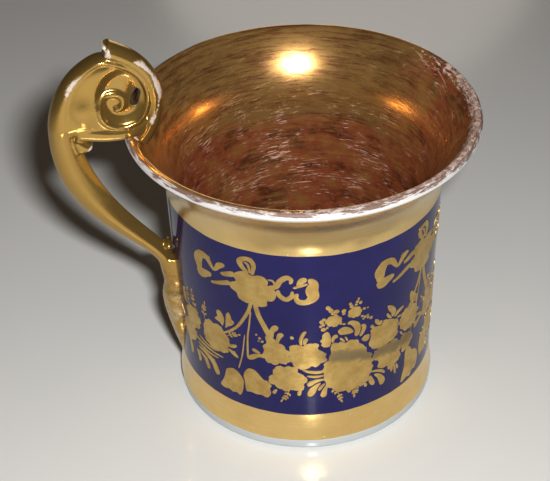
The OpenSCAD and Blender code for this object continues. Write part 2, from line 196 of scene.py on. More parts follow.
class Finish:
    """A procedural material, written node by node."""

    def __init__(self, name):
        self.material = bpy.data.materials.new(name)
        self.material.use_nodes = True
        self.tree = self.material.node_tree
        self.tree.nodes.clear()
        self.place = self.node("ShaderNodeTexCoord", output="Object")

    def node(self, kind, settings=None, sockets=None, output=0):
        made = self.tree.nodes.new(kind)
        for key, value in (settings or {}).items():
            setattr(made, key, value)
        for key, value in (sockets or {}).items():
            if isinstance(value, Term):
                self.tree.links.new(value.socket, made.inputs[key])
            else:
                made.inputs[key].default_value = value
        return Term(self, made.outputs[output])

    def axis(self, letter):
        """One coordinate of the surface, in millimetres."""
        return self.node("ShaderNodeSeparateXYZ", None, {0: self.place}, "XYZ".index(letter)) / MM

    def polar(self, radius):
        """The place as arc length on a radius, distance from the axis and height."""
        x, y, z = (self.node("ShaderNodeSeparateXYZ", None, {0: self.place}, k) for k in range(3))
        return self.node("ShaderNodeCombineXYZ", None,
                         {0: y.arctan2(x) * radius * MM, 1: (x * x + y * y) ** 0.5, 2: z})

    def scaled(self, place, scale):
        return self.node("ShaderNodeVectorMath", {"operation": "MULTIPLY"}, {0: place, 1: scale})

    def noise(self, size, detail=3.0, rough=0.55, stretch=(1, 1, 1), place=None):
        """Noise whose features are about size millimetres across, drawn out where stretch is small."""
        scale = [s / (size * MM) for s in stretch]
        at = self.scaled(place or self.place, scale)
        return self.node("ShaderNodeTexNoise", None,
                         {"Vector": at, "Scale": 1.0, "Detail": detail, "Roughness": rough})

    def level(self, value, low, high):
        """A soft step from 0 at low to 1 at high."""
        return self.node("ShaderNodeMapRange", {"interpolation_type": "SMOOTHSTEP", "clamp": True},
                         {"Value": value, "From Min": low, "From Max": high})

    def blend(self, factor, first, second):
        return self.node("ShaderNodeMix", {"data_type": "RGBA"}, {0: factor, 6: first, 7: second}, 2)

    def bump(self, height, depth):
        """A bump whose height of 1 stands depth millimetres off the surface."""
        return self.node("ShaderNodeBump", None, {"Distance": depth * MM, "Height": height})

    def surface(self, **sockets):
        shader = self.node("ShaderNodeBsdfPrincipled", None,
                           {key.replace("_", " "): value for key, value in sockets.items()})
        made = self.tree.nodes.new("ShaderNodeOutputMaterial")
        self.tree.links.new(shader.socket, made.inputs["Surface"])
        return self.material


def porcelain_finish(colours, cup):
    f = Finish("white_porcelain")
    height = f.axis("Z")
    white = tuple(colours.porcelain)
    body = f.blend(f.level(f.noise(16), 0.35, 0.7) * 0.6, white, (0.74, 0.77, 0.82, 1))
    lip = f.level(height, cup.lip_z - 1.0, cup.lip_z + 1.1)
    fine = f.noise(0.7, 6, 0.72, stretch=(0.16, 1, 1), place=f.polar(cup.rim_r))
    specks = fine * 0.85 + f.noise(9, 3) * 0.25
    shown = f.level(height, cup.lip_z - 2.5, cup.lip_z - 0.5)
    rubbed = f.level(lip * 0.31 + specks, 0.78, 0.85) * shown
    body = f.blend(lip * 0.6, body, (0.54, 0.47, 0.43, 1))
    body = f.blend(rubbed * 0.88, body, (0.13, 0.045, 0.022, 1))
    foot = 1 - f.level(height, 2.6, 3.6)
    body = f.blend(foot * 0.85, body, (0.44, 0.49, 0.51, 1))
    # Greyer in patches towards the bottom edge
    low_darkening = (1 - f.level(height, 0.1, 2.2)) * f.level(f.noise(3, 4), 0.3, 0.7)
    body = f.blend(low_darkening * 0.45, body, (0.40, 0.44, 0.48, 1))
    rough = 0.10 + rubbed * 0.4 + f.noise(5) * 0.06
    wave = f.bump(f.noise(2.5, 2) * 0.7 + f.noise(0.35, 2) * 0.2 - rubbed * 0.6, 0.03)
    return f.surface(Base_Color=body, Roughness=rough, Normal=wave)


def cobalt_finish(colours):
    f = Finish("cobalt_colour")
    deep = tuple(colours.cobalt)
    cloud = f.level(f.noise(11, 4), 0.3, 0.75)
    body = f.blend(cloud, deep, (0.008, 0.006, 0.085, 1))
    dust = f.level(f.noise(0.25, 2, 0.4), 0.7, 0.76) * f.level(f.noise(6), 0.45, 0.65)
    body = f.blend(dust * 0.35, body, (0.10, 0.09, 0.14, 1))
    rough = 0.07 + cloud * 0.05 + dust * 0.25
    wave = f.bump(f.noise(3.2, 2) * 0.8 + f.noise(0.4, 2) * 0.15, 0.025)
    return f.surface(Base_Color=body, Roughness=rough, Normal=wave, IOR=1.34)


def band_finish(colours):
    f = Finish("gilt_band")
    gold = tuple(colours.gold)
    streak = f.noise(0.5, 4, 0.6, stretch=(0.03, 0.03, 1))
    tone = f.level(f.noise(14, 3), 0.3, 0.75)
    body = f.blend(tone, gold, (0.70, 0.48, 0.18, 1))
    body = f.blend(f.level(streak, 0.5, 0.75) * 0.35, body, (0.90, 0.72, 0.40, 1))
    thin = f.level(f.noise(1.6, 6, 0.65), 0.64, 0.70) * f.level(f.noise(12, 2), 0.45, 0.62)
    body = f.blend(thin * 0.8, body, (0.62, 0.55, 0.47, 1))
    pricks = f.level(f.noise(0.3, 2), 0.73, 0.78)
    body = f.blend(pricks * 0.6, body, (0.28, 0.17, 0.07, 1))
    # Painted dark reflection across the front of the upper band, below the lip
    front = (1 - f.level(f.axis("X") ** 2, 60, 700)) * (1 - f.level(f.axis("Y"), -30, -10))
    rise = f.axis("Z") + f.noise(9, 3) * 8
    dull_and_dark_reflection = front * f.level(rise, 70, 75) * (1 - f.level(rise, 82, 87))
    body = f.blend(dull_and_dark_reflection * (0.3 + streak * 0.6), body, (0.24, 0.16, 0.065, 1))
    rough = 0.13 + streak * 0.10 + tone * 0.05 + thin * 0.2
    wave = f.bump(streak * 0.5 + f.noise(2.4, 3) * 0.7 - thin * 0.4, 0.03)
    return f.surface(Base_Color=body, Metallic=1 - thin * 0.8, Roughness=rough, Normal=wave)


def garland_finish(colours, cup, first_bow):
    f = Finish("gilt_garland")
    gold = tuple(colours.garland)
    tone = f.level(f.noise(3.5, 5, 0.6), 0.32, 0.72)
    body = f.blend(tone, gold, (0.48, 0.30, 0.09, 1))
    hair = f.noise(0.22, 4, 0.6, stretch=(0.3, 0.3, 1))
    body = f.blend(f.level(hair, 0.52, 0.7) * 0.35, body, (0.76, 0.58, 0.28, 1))
    pits = f.level(f.noise(0.28, 3), 0.68, 0.74)
    body = f.blend(pits * 0.6, body, (0.10, 0.07, 0.09, 1))
    along = (f.axis("Y").arctan2(f.axis("X")) - first_bow) * cup.garland_r
    off = (f.axis("Z") + f.noise(3, 5, 0.65) * 4.0 - 30.6 - (1 - f.level(along, 15, 40)) * 4.2) / 2.2
    smear = (1 - f.level(off * off, 0.0, 1.6)) * f.level(along, 14, 22) * (1 - f.level(along, 44, 52))
    body = f.blend(smear * 0.85, body, (0.18, 0.135, 0.07, 1))
    rough = 0.32 + tone * 0.10 + hair * 0.08 + smear * 0.2
    wave = f.bump(hair * 0.5 + f.noise(0.9, 3) * 0.6 - pits, 0.02)
    return f.surface(Base_Color=body, Metallic=1 - pits * 0.5 - smear * 0.3, Roughness=rough, Normal=wave)


def strokes(f, turn, size, drawn, low, high):
    """Fine scratches of one slant, drawn out where drawn is small."""
    way = f.node("ShaderNodeVectorRotate", {"rotation_type": "EULER_XYZ"},
                 {"Vector": f.place, "Rotation": turn})
    at = f.scaled(way, [d / (size * MM) for d in drawn])
    lines = f.node("ShaderNodeTexNoise", None, {"Vector": at, "Scale": 1.0, "Detail": 2.5})
    return f.level(lines, low, high)


def inside_finish(colours, cup):
    f = Finish("worn_gilding")
    height, across, along = f.axis("Z"), f.axis("X"), f.axis("Y")
    gold = (0.72, 0.405, 0.13, 1)
    rubs = f.noise(0.9, 6, 0.72, stretch=(0.2, 0.2, 1))
    cloud = f.noise(13, 4, 0.6)
    right = f.level(across - along * 0.3, 12, 40)
    used = (1 - f.level(height, 58, 74)).highest(right * 0.9)
    wisps = f.noise(0.8, 6, 0.75, stretch=(0.07, 1, 1), place=f.polar(cup.rim_r))
    worn = f.level(used * 0.45 + rubs * 0.3 + wisps * 0.6 + cloud * 0.45, 0.78, 1.16)
    body = f.blend(f.level(rubs, 0.42, 0.66) * 0.5, gold, (0.34, 0.165, 0.05, 1))
    body = f.blend(f.level(wisps + cloud * 0.3, 0.63, 0.76) * 0.75, body, (0.26, 0.085, 0.035, 1))
    patch = f.noise(6, 6, 0.7, stretch=(0.6, 0.6, 1))
    ground = f.blend(f.level(patch, 0.48, 0.62) * 0.85, tuple(colours.bole), (0.085, 0.022, 0.010, 1))
    ground = f.blend((1 - f.level(patch, 0.36, 0.47)) * 0.6, ground, (0.33, 0.17, 0.04, 1))
    ground = f.blend(f.level(f.noise(1.3, 6, 0.75), 0.55, 0.68) * 0.6, ground, (0.40, 0.125, 0.07, 1))
    body = f.blend(worn, body, ground)
    shade = f.level(f.noise(4, 6, 0.7, stretch=(0.4, 0.4, 1)), 0.48, 0.7)
    body = f.blend(shade * 0.4, body, (0.15, 0.05, 0.022, 1))
    lines = strokes(f, (0.10, 0.06, 0), 0.34, (0.09, 0.09, 1), 0.58, 0.67)
    lines = lines.highest(strokes(f, (-0.22, 0.16, 0.5), 0.32, (0.06, 0.06, 1), 0.60, 0.67))
    lines = lines.highest(strokes(f, (0.1, -0.1, 0.2), 0.40, (1, 1, 0.09), 0.66, 0.73) * 0.4)
    reached = f.level(height, 8, 20) * (1 - f.level(height, 62, 76) * (1 - right * 0.7))
    scratch = lines * f.level(f.noise(9, 5, 0.7), 0.47, 0.60) * (0.12 + reached * 0.88)
    edge = f.level(height, cup.lip_z - 9, cup.height)
    flakes = f.noise(0.8, 6, 0.75, stretch=(0.45, 0.45, 1))
    side = f.level(across - along * 0.9, -6, 46)
    dark = f.level(edge * side * 0.34 + flakes * 0.9, 0.74, 0.82) * side
    crest = f.level(height, cup.lip_z - 1.5, cup.height)
    chips = f.noise(0.9, 6, 0.75, stretch=(0.4, 1, 1), place=f.polar(cup.rim_r))
    bare = f.level(crest * (0.02 + side * 0.2) + edge * side * 0.10 + chips * 0.9, 0.68, 0.74)
    body = f.blend(scratch * 0.85, body, (0.70, 0.46, 0.36, 1))
    body = f.blend(bare * 0.9, body, (0.66, 0.50, 0.43, 1))
    body = f.blend(dark * (0.9 - crest * 0.3), body, (0.09, 0.026, 0.015, 1))
    metal = (0.80 - worn * 0.36) * (1 - scratch * 0.8) * (1 - bare) * (1 - dark * 0.7)
    rough = 0.17 + worn * 0.12 + shade * 0.06 + scratch * 0.2 + rubs * 0.08
    wave = f.bump(f.noise(4, 2) * 0.5 + rubs * 0.35 - scratch * 0.4 - bare * 0.5 - dark * 0.3, 0.035)
    return f.surface(Base_Color=body, Metallic=metal, Roughness=rough, Normal=wave)


def handle_finish(colours):
    f = Finish("gilt_handle")
    gold = tuple(colours.handle)
    tone = f.level(f.noise(5, 4, 0.6), 0.34, 0.7)
    body = f.blend(tone, gold, (0.44, 0.27, 0.075, 1))
    wear = f.node("ShaderNodeAttribute", {"attribute_name": "edge_wear"}, output="Fac")
    rubbed = f.level(wear * 0.8 + f.noise(0.9, 7, 0.75) * 1.0, 1.04, 1.2)
    thinned = f.level(wear * 0.8 + f.noise(2.2, 5, 0.65) * 0.7, 0.72, 1.0)
    body = f.blend(thinned * 0.6, body, (0.52, 0.33, 0.17, 1))
    body = f.blend(rubbed * 0.92, body, (0.58, 0.50, 0.45, 1))
    eye = f.node("ShaderNodeAttribute", {"attribute_name": "eye_shade"}, output="Fac")
    body = f.blend(eye * 0.92, body, (0.03, 0.016, 0.008, 1))
    height = f.axis("Z")
    # Worn, paler and rougher gold low on the leaf
    dull_and_dark_reflection = (1 - f.level(height, 33, 38)) * f.level(f.noise(2.2, 5, 0.65), 0.38, 0.62)
    body = f.blend(dull_and_dark_reflection * 0.55, body, (0.60, 0.47, 0.30, 1))
    stain = f.level(height, 35, 38) * (1 - f.level(height, 41, 44))
    stain = stain * f.level(f.noise(1.6, 5, 0.65), 0.44, 0.6)
    body = f.blend(stain * 0.75, body, (0.27, 0.115, 0.04, 1))
    hair = f.noise(0.3, 3, 0.6, stretch=(1, 0.35, 1))
    rough = 0.12 + tone * 0.06 + hair * 0.06 + rubbed * 0.2 + eye * 0.3 + dull_and_dark_reflection * 0.15 + stain * 0.15
    wave = f.bump(f.noise(1.5, 3) * 0.8 + hair * 0.2 - rubbed * 0.5, 0.03)
    metal = (0.82 - thinned * 0.2 - dull_and_dark_reflection * 0.25 - stain * 0.3) * (1 - rubbed) * (1 - eye * 0.8)
    return f.surface(Base_Color=body, Metallic=metal, Roughness=rough, Normal=wave)


def slip_finish(colours):
    f = Finish("bare_slip")
    body = f.blend(f.noise(1.5, 5), tuple(colours.slip), (0.55, 0.52, 0.47, 1))
    grit = f.noise(0.2, 3)
    return f.surface(Base_Color=body, Roughness=0.6 + grit * 0.2, Normal=f.bump(grit, 0.04))


def table_finish(colours):
    f = Finish("table_top")
    tone = f.level(f.noise(60, 3), 0.3, 0.7)
    body = f.blend(tone * 0.5, tuple(colours.table), (0.77, 0.775, 0.77, 1))
    rough = 0.12 + f.noise(40) * 0.04
    return f.surface(Base_Color=body, Roughness=rough, IOR=1.58)


# Meshes

def mesh_of(name, points, faces):
    """A mesh from points in millimetres."""
    mesh = bpy.data.meshes.new(name)
    mesh.from_pydata((np.asarray(points) * MM).tolist(), [], faces)
    return mesh


def placed(name, data):
    """A new object in the scene."""
    thing = bpy.data.objects.new(name, data)
    bpy.context.scene.collection.objects.link(thing)
    return thing


def piece(name, points, faces, finish, slot, *nodes, sharp=35):
    """Makes a piece of the cup from points in millimetres and sets it on the frame."""
    settle(name, mesh_of(name, points, faces), finish, slot, *nodes, sharp=sharp)


def settle(name, mesh, finish, slot, *nodes, sharp=35):
    """Smooths a mesh up to a sharp angle in degrees, gives it its finish and sets it on the frame."""
    mesh.validate()
    made = bmesh.new()
    made.from_mesh(mesh)
    bmesh.ops.recalc_face_normals(made, faces=made.faces)
    made.to_mesh(mesh)
    made.free()
    mesh.polygons.foreach_set("use_smooth", [True] * len(mesh.polygons))
    mesh.set_sharp_from_angle(angle=math.radians(sharp))
    mesh.materials.append(finish)
    thing = placed(name, mesh)
    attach(thing, "root")
    if nodes:
        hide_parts(*nodes)


def turned(rows, closed):
    """Points and faces of a surface turned about the axis.
    Rows hold a radius and a height for each place along the outline and each angle."""
    rows = np.asarray(rows, float)
    count = rows.shape[1]
    angles = np.arange(count) * 2 * math.pi / count - math.pi
    points, rings = [], []
    for row in rows:
        if row[:, 0].max() < 1e-6:
            rings.append([len(points)])
            points.append((0, 0, row[:, 1].mean()))
            continue
        rings.append(list(range(len(points), len(points) + count)))
        points.extend(zip(row[:, 0] * np.cos(angles), row[:, 0] * np.sin(angles), row[:, 1]))
    faces = []
    pairs = list(zip(rings, rings[1:]))
    if closed:
        pairs.append((rings[-1], rings[0]))
    for low, high in pairs:
        if len(low) == 1 and len(high) == 1:
            continue
        for k in range(count):
            n = (k + 1) % count
            if len(low) == 1:
                faces.append((low[0], high[n], high[k]))
            elif len(high) == 1:
                faces.append((low[k], low[n], high[0]))
            else:
                faces.append((low[k], low[n], high[n], high[k]))
    return points, faces


class CupForm:
    """The turned outline of the cup, in millimetres."""

    def __init__(self, sizes):
        self.rim_r = sizes.rim_radius / MM
        self.height = sizes.height / MM
        self.lip_r = sizes.lip_radius / MM
        self.neck_r = sizes.neck_radius / MM
        self.low_r = sizes.low_radius / MM
        self.foot_r = sizes.foot_radius / MM
        self.foot_h = sizes.foot_height / MM
        self.low_seam = sizes.low_seam / MM
        self.neck_seam = sizes.neck_seam / MM
        self.wall = sizes.wall / MM
        self.floor = sizes.floor / MM
        self.coat = sizes.coat / MM
        self.turns = sizes.turns
        self.lip_x = self.rim_r - self.lip_r
        self.lip_z = self.height - self.lip_r
        half = self.lip_r * math.sqrt(0.5)
        self.flare_top = (self.lip_x + half, self.lip_z - half)
        self.inner_top = (self.lip_x - half, self.lip_z + half)
        self.inner_low = self.neck_seam - 2
        self.garland_r = (self.low_r + self.neck_r) / 2 + 0.2
        self.fillet = 8
        self.crest = 72

    def outer(self, z):
        """Radius of the outer wall at a height."""
        z = np.asarray(z, float)
        base = np.clip((z - self.foot_h) / (self.low_seam - self.foot_h), 0, 1)
        ground = np.clip((z - self.low_seam) / (self.neck_seam - self.low_seam), 0, 1)
        run = self.flare_top[1] - self.neck_seam
        flare = np.clip((z - self.neck_seam) / run, 0, 1)
        slope = 1.6 * (self.neck_r - self.low_r) / (self.neck_seam - self.low_seam) * run
        return (self.low_r + (self.foot_r - self.low_r) * (1 - base) ** 2
                + (self.neck_r - self.low_r) * ground ** 1.6
                + slope * flare + (self.flare_top[0] - self.neck_r - slope) * flare ** 2)

    def inner(self, z):
        """Radius of the inner wall at a height above the fillet."""
        z = np.asarray(z, float)
        flare = np.clip((z - self.inner_low) / (self.inner_top[1] - self.inner_low), 0, 1)
        top, low = self.neck_r - self.wall, self.low_r - self.wall
        start = self.floor + self.fillet
        rise = np.clip((z - start) / (self.inner_low - start), 0, 1)
        return low + (top - low) * rise + (self.inner_top[0] - top) * flare ** 2

    def inside_line(self):
        """Outline of the inside, from the lip down to the middle of the floor."""
        z = np.concatenate([np.linspace(self.inner_top[1], self.inner_low, 36),
                            np.linspace(self.inner_low, self.floor + self.fillet, 26)[1:]])
        crest = [(self.lip_x + self.lip_r * math.cos(a), self.lip_z + self.lip_r * math.sin(a))
                 for a in np.linspace(math.radians(self.crest), 3 * math.pi / 4, 9)[:-1]]
        line = crest + list(zip(self.inner(z), z))
        centre = (self.low_r - self.wall - self.fillet, self.floor + self.fillet)
        for a in np.linspace(0, -math.pi / 2, 14)[1:]:
            line.append((centre[0] + self.fillet * math.cos(a), centre[1] + self.fillet * math.sin(a)))
        for r in np.linspace(centre[0], 0, 8)[1:]:
            line.append((r, self.floor))
        return np.array(line)

    def outline(self):
        """The whole outline, from the middle of the underside round to the middle of the floor."""
        recess, ring, round_r = 1.8, 4.0, 0.9
        line = [(0, recess), (self.foot_r - ring - 0.5, recess), (self.foot_r - ring, recess - 0.5),
                (self.foot_r - ring, 0.3), (self.foot_r - ring + 0.3, 0)]
        for a in np.linspace(-math.pi / 2, 0, 8):
            line.append((self.foot_r - round_r + round_r * math.cos(a), round_r + round_r * math.sin(a)))
        for z in np.linspace(self.foot_h, self.flare_top[1], 90):
            line.append((float(self.outer(z)), z))
        for a in np.linspace(-math.pi / 4, math.radians(self.crest), 12)[1:-1]:
            line.append((self.lip_x + self.lip_r * math.cos(a), self.lip_z + self.lip_r * math.sin(a)))
        return np.vstack([line, self.inside_line()])


def hand_edge(turns, reach, seed):
    """Small ups and downs of an edge laid on by brush while the cup turns."""
    a = np.arange(turns) * 2 * math.pi / turns
    waves = [(3, 0.5), (7, 0.4), (13, 0.3), (29, 0.22), (47, 0.15)]
    return reach * sum(size * np.sin(n * a + seed * (k + 1.7)) for k, (n, size) in enumerate(waves))


def wall_coat(cup, low, high, steps, low_edge, high_edge):
    """Rows of a thin coat on the outer wall between two brushed edges."""
    share = np.linspace(0, 1, steps + 1)[:, None]
    z = mix(low + low_edge[None, :], high + high_edge[None, :], share)
    front = np.stack([cup.outer(z) + cup.coat, z], -1)
    behind = np.stack([cup.outer(z) + COAT_BACK, z], -1)
    return np.concatenate([front, behind[::-1]])


def inside_coat(cup, edge):
    """Rows of the gilding inside, from its brushed edge on the lip to the middle of the floor."""
    line = cup.inside_line()
    run = np.gradient(line, axis=0)
    out = np.stack([-run[:, 1], run[:, 0]], -1)
    out /= -np.linalg.norm(out, axis=1)[:, None]
    out[-1] = (0, 1)
    shift = np.clip(1 - np.arange(len(line)) / 5, 0, 1)[:, None] * edge[None, :]
    ahead = run / np.linalg.norm(run, axis=1)[:, None]
    rows = []
    for lift in (cup.coat, COAT_BACK):
        place = line + out * lift
        place[-1, 0] = 0
        rows.append(place[:, None, :] + ahead[:, None, :] * shift[:, :, None])
    return np.concatenate([rows[0], rows[1][::-1]])


def smooth_line(places, steps):
    """A smooth line through a few places, with any further columns carried along."""
    p = np.array(places, float)
    p = np.vstack([2 * p[0] - p[1], p, 2 * p[-1] - p[-2]])
    rows = []
    for i in range(1, len(p) - 2):
        for t in np.arange(steps) / steps:
            rows.append(0.5 * (2 * p[i] + (p[i + 1] - p[i - 1]) * t
                               + (2 * p[i - 1] - 5 * p[i] + 4 * p[i + 1] - p[i + 2]) * t ** 2
                               + (3 * p[i] - p[i - 1] - 3 * p[i + 1] + p[i + 2]) * t ** 3))
    rows.append(p[-2])
    return np.array(rows)


# Handle

def skin_faces(rows, sides):
    """Faces of a closed skin over rows of points, with its two ends."""
    faces = []
    for low in range(0, (rows - 1) * sides, sides):
        for k in range(sides):
            m = (k + 1) % sides
            faces.append((low + k, low + m, low + sides + m, low + sides + k))
    last = (rows - 1) * sides
    return faces + [tuple(range(sides - 1, -1, -1)), tuple(range(last, last + sides))]


def swept(stations, sides, power):
    """A skin over sections that stand square to a path in the handle's plane.
    A station holds reach, height, half width in the plane, half thickness and how far the inner side thins.
    A power of 1 gives round sections, and a higher one draws them to a crest."""
    s = np.asarray(stations, float)
    run = np.gradient(s[:, :2], axis=0)
    run /= np.linalg.norm(run, axis=1)[:, None]
    across = np.stack([run[:, 1], -run[:, 0]], -1)
    a = (np.arange(sides) + 0.5) * 2 * math.pi / sides
    drawn = np.broadcast_to(power, len(s))[:, None]
    u = np.sign(np.cos(a)) * np.abs(np.cos(a)) ** drawn
    v = np.sign(np.sin(a)) * np.abs(np.sin(a)) ** drawn
    flat = s[:, None, :2] + across[:, None, :] * (s[:, 2:3] * u)[:, :, None]
    thick = s[:, 3:4] * v * (1 - s[:, 4:5] * (1 - u) / 2)
    points = np.stack([-flat[:, :, 0], thick, flat[:, :, 1]], -1).reshape(-1, 3)
    n = len(s)
    return points, skin_faces(n, sides)


def knob(place, radius, half, side=0.0):
    """Points over a flattened ball in the handle's plane."""
    rows = []
    for e in np.linspace(-math.pi / 2, math.pi / 2, 15):
        a = np.arange(28) * 2 * math.pi / 28
        rows.append(np.stack([-place[0] + radius * math.cos(e) * np.cos(a),
                              np.full(28, side + half * math.sin(e)),
                              place[1] + radius * math.cos(e) * np.sin(a)], -1))
    return np.concatenate(rows)


def wrapped(*groups):
    """The closed skin round groups of points."""
    made = bmesh.new()
    for p in np.concatenate(groups):
        made.verts.new(p)
    bmesh.ops.remove_doubles(made, verts=made.verts, dist=1e-4)
    found = bmesh.ops.convex_hull(made, input=made.verts)
    spare = [e for e in found["geom_interior"] + found["geom_unused"] if isinstance(e, bmesh.types.BMVert)]
    bmesh.ops.delete(made, geom=list(set(spare)), context="VERTS")
    made.verts.index_update()
    points = np.array([v.co[:] for v in made.verts])
    faces = [tuple(v.index for v in f.verts) for f in made.faces]
    made.free()
    return points, faces


def soft_step(low, high, value):
    """A soft step from 0 at low to 1 at high, whichever is the larger."""
    t = np.clip((value - low) / (high - low), 0, 1)
    return t * t * (3 - 2 * t)


def hump(out, up, o, u, wide, tall):
    return np.exp(-((out - o) / wide) ** 2 - ((up - u) / tall) ** 2)


def ridge(out, up, places):
    """A rounded ridge along places that hold a half width and a height each."""
    best = np.zeros_like(out)
    for o, u, wide, tall in smooth_line(places, 10):
        best = np.maximum(best, tall * np.exp(-((out - o) ** 2 + (up - u) ** 2) / wide ** 2))
    return best


# Lines on the scroll's face: out, up and half width in scroll radii from its centre.
# The last number is a share of the inner turn's height, a share of the scroll's thickness for the chin,
# and a depth in millimetres for the groove.
INNER_TURN = [
    (-0.583, -0.604, 0.075, 0.6), (-0.30, -0.66, 0.08, 0.65), (-0.01, -0.59, 0.09, 0.7),
    (0.17, -0.38, 0.105, 0.8), (0.21, -0.11, 0.115, 0.9), (0.08, 0.12, 0.12, 1), (-0.17, 0.15, 0.115, 1),
    (-0.33, 0.0, 0.105, 1), (-0.27, -0.20, 0.095, 1), (-0.12, -0.24, 0.08, 0.9),
]
CHIN = [
    (0.72, -0.67, 0.24, 0.46), (0.42, -0.75, 0.21, 0.46), (0.05, -0.82, 0.19, 0.46),
    (-0.30, -0.84, 0.17, 0.45), (-0.60, -0.79, 0.18, 0.41), (-0.86, -0.63, 0.24, 0.36),
]
CHIN_GROOVE = [
    (0.62, -0.72, 0.03, 0.25), (0.30, -0.78, 0.03, 0.35), (-0.10, -0.82, 0.03, 0.25),
    (-0.4, -0.82, 0.03, 0.1),
]
# Corners of the spur: out and up in scroll radii, and half thickness in millimetres
SPUR = [
    (0.03, 1.31, 2.17), (-0.05, 1.344, 1.96), (-0.15, 1.08, 2.87), (-0.36, 1.20, 1.68),
    (-0.36, 1.0, 2.66),
]
# Lines where hands have rubbed the gold off: out, up, half width and strength
RUBBED = [
    [(0.90, 0.22, 0.08, 0.7), (0.78, 0.44, 0.12, 1.1), (0.60, 0.62, 0.11, 1.0), (0.36, 0.77, 0.07, 0.6)],
    [(0.03, 1.31, 0.09, 1.3), (-0.05, 1.22, 0.10, 1.4), (-0.11, 1.10, 0.07, 1.2)],
    [(-0.52, 0.95, 0.06, 0.6), (-0.76, 0.86, 0.09, 1.1), (-0.96, 0.60, 0.08, 1.0),
     (-1.06, 0.34, 0.09, 1.2), (-1.12, 0.08, 0.09, 1.2), (-1.08, -0.12, 0.06, 0.8),
     (-1.02, -0.32, 0.06, 0.8), (-0.88, -0.58, 0.09, 1.3)],
    [(0.54, -1.14, 0.05, 0.7), (0.46, -1.10, 0.06, 0.9)],
]


class HandleForm:
    """Centre lines and places of the scroll handle, in millimetres."""

    def __init__(self, sizes, cup):
        self.cup = cup
        self.centre = np.array([cup.rim_r + sizes.scroll_out / MM, cup.height + sizes.scroll_up / MM])
        self.r = sizes.scroll_radius / MM
        self.half = sizes.thickness / MM / 2
        self.stem_z = sizes.stem_height / MM
        self.tip_z = sizes.leaf_tip / MM
        self.leaf_w = sizes.leaf_width / MM
        self.stem_top_w = 6.6
        self.stem_low_w = 4.4

    def round(self, r, degrees):
        """A place round the scroll: 0 faces the cup's axis and 90 is up."""
        a = math.radians(degrees)
        return self.centre + r * np.array([-math.cos(a), math.sin(a)])

    def at(self, out, up):
        return self.centre + self.r * np.array([out, up])

    def tail_width(self, a):
        if a > 94:
            return mix(0.083 * self.r, self.stem_top_w / 2, ((a - 94) / 114) ** 1.6)
        return mix(0.083, 0.075, (94 - a) / 140) * self.r

    def tail(self, a):
        leave = 0.47 * max(0, (a - 94) / 114) ** 3.4 - 0.085 * max(0, (94 - a) / 140)
        rise = 0.05 * math.exp(-((a - 94) / 18) ** 2)
        return self.round(self.r * (1 + leave + rise) - self.tail_width(a), a)

    def stem(self):
        low = np.array([float(self.cup.outer(self.stem_z)) + self.stem_low_w / 2 - 0.2, self.stem_z])
        top = self.tail(208)
        run = self.tail(209) - top
        p = [low, low + [0, 9], top + 28 * run / np.linalg.norm(run), top]
        rows = []
        for t in np.linspace(0, 1, 70):
            place = ((1 - t) ** 3 * p[0] + 3 * t * (1 - t) ** 2 * p[1]
                     + 3 * t * t * (1 - t) * p[2] + t ** 3 * p[3])
            belly = 1.2 * math.sin(math.pi * t ** 2.2)
            rows.append([*place, mix(self.stem_low_w, self.stem_top_w, t) / 2 + belly,
                         mix(2.7, self.half, t), 0.55 * math.sqrt(abs(math.sin(math.pi * t)))])
        return np.array(rows)

    def band(self):
        """The outer band, from the stem round the scroll and in to the volute's last turn."""
        rows = []
        for a in np.linspace(208, -46, 100)[1:]:
            half = mix(1, 0.83, min(1, (208 - a) / 70)) * self.half
            rows.append([*self.tail(a), self.tail_width(a), half, 0])
        for o, u, w, share in smooth_line(INNER_TURN, 9)[1:]:
            high = float(self.relief(np.array([o]), np.array([u]))[0])
            rows.append([*self.at(o, u), w * self.r, high + 0.85 * share, 0])
        return np.array(rows)

    def back(self):
        """The round back, from the spur over the inner side and down onto the lip."""
        rows = []
        for t in np.linspace(0, 1, 60):
            a = mix(87, -60, t)
            drop = 0.26 * (a / -60) ** 1.5 if a < 0 else 0
            reach = self.r * (1.02 + drop) + 2.2 * (1 - t) ** 7
            rows.append([*self.round(reach, a), 0.18 * self.r, 0.9 * self.half, 0])
        return np.array(rows)

    def chin(self):
        """The underside of the scroll, from the stem to the back."""
        line = smooth_line(CHIN, 8)
        return np.array([[*self.at(o, u), w * self.r, 2 * t * self.half, 0] for o, u, w, t in line])

    def face(self):
        """The scroll's disc, whose two faces carry the dish, the inner turn of the volute and the cheek."""
        rings, turns = 72, 160
        a = np.arange(turns) * 2 * math.pi / turns
        share = 0.93 * np.linspace(0, 1, rings)[1:]
        out, up = share[:, None] * np.cos(a), share[:, None] * np.sin(a)
        high = self.relief(out, up)
        high[-1] = 0
        middle = float(self.relief(np.zeros(1), np.zeros(1))[0])
        reach, height = self.centre
        flat = np.stack([-(reach + self.r * out), high, height + self.r * up], -1).reshape(-1, 3)
        middles = [[-reach, s * middle, height] for s in (1, -1)]
        points = np.vstack([flat, flat * [1, -1, 1], middles])
        faces, n = [], len(flat)
        for half in (0, 1):
            for k in range(turns):
                m = (k + 1) % turns
                cells = [(2 * n + half, half * n + k, half * n + m)]
                for i in range(rings - 2):
                    low, top = half * n + i * turns, half * n + (i + 1) * turns
                    cells.append((low + k, top + k, top + m, low + m))
                faces.extend(c if half else c[::-1] for c in cells)
        return points, faces

    def relief(self, out, up):
        """Height of the scroll's face above its middle plane; out and up count in scroll radii."""
        rho = np.hypot(out, up)
        high = 2.75 * (1 - 0.4 * rho ** 8)
        dish = np.hypot((out + 0.32) / 0.64, (up - 0.08) / 0.80)
        high -= 1.25 * soft_step(1.0, 0.55, dish)
        high += 0.85 * hump(out, up, 0.55, -0.26, 0.34, 0.40) + 0.3 * soft_step(0.35, 0.85, out)
        high -= 0.35 * hump(out, up, -0.60, 0.12, 0.16, 0.28)
        high -= ridge(out, up, CHIN_GROOVE)
        return np.maximum(high, 0.35) * np.clip((1 - rho) * 40, 0, 1)

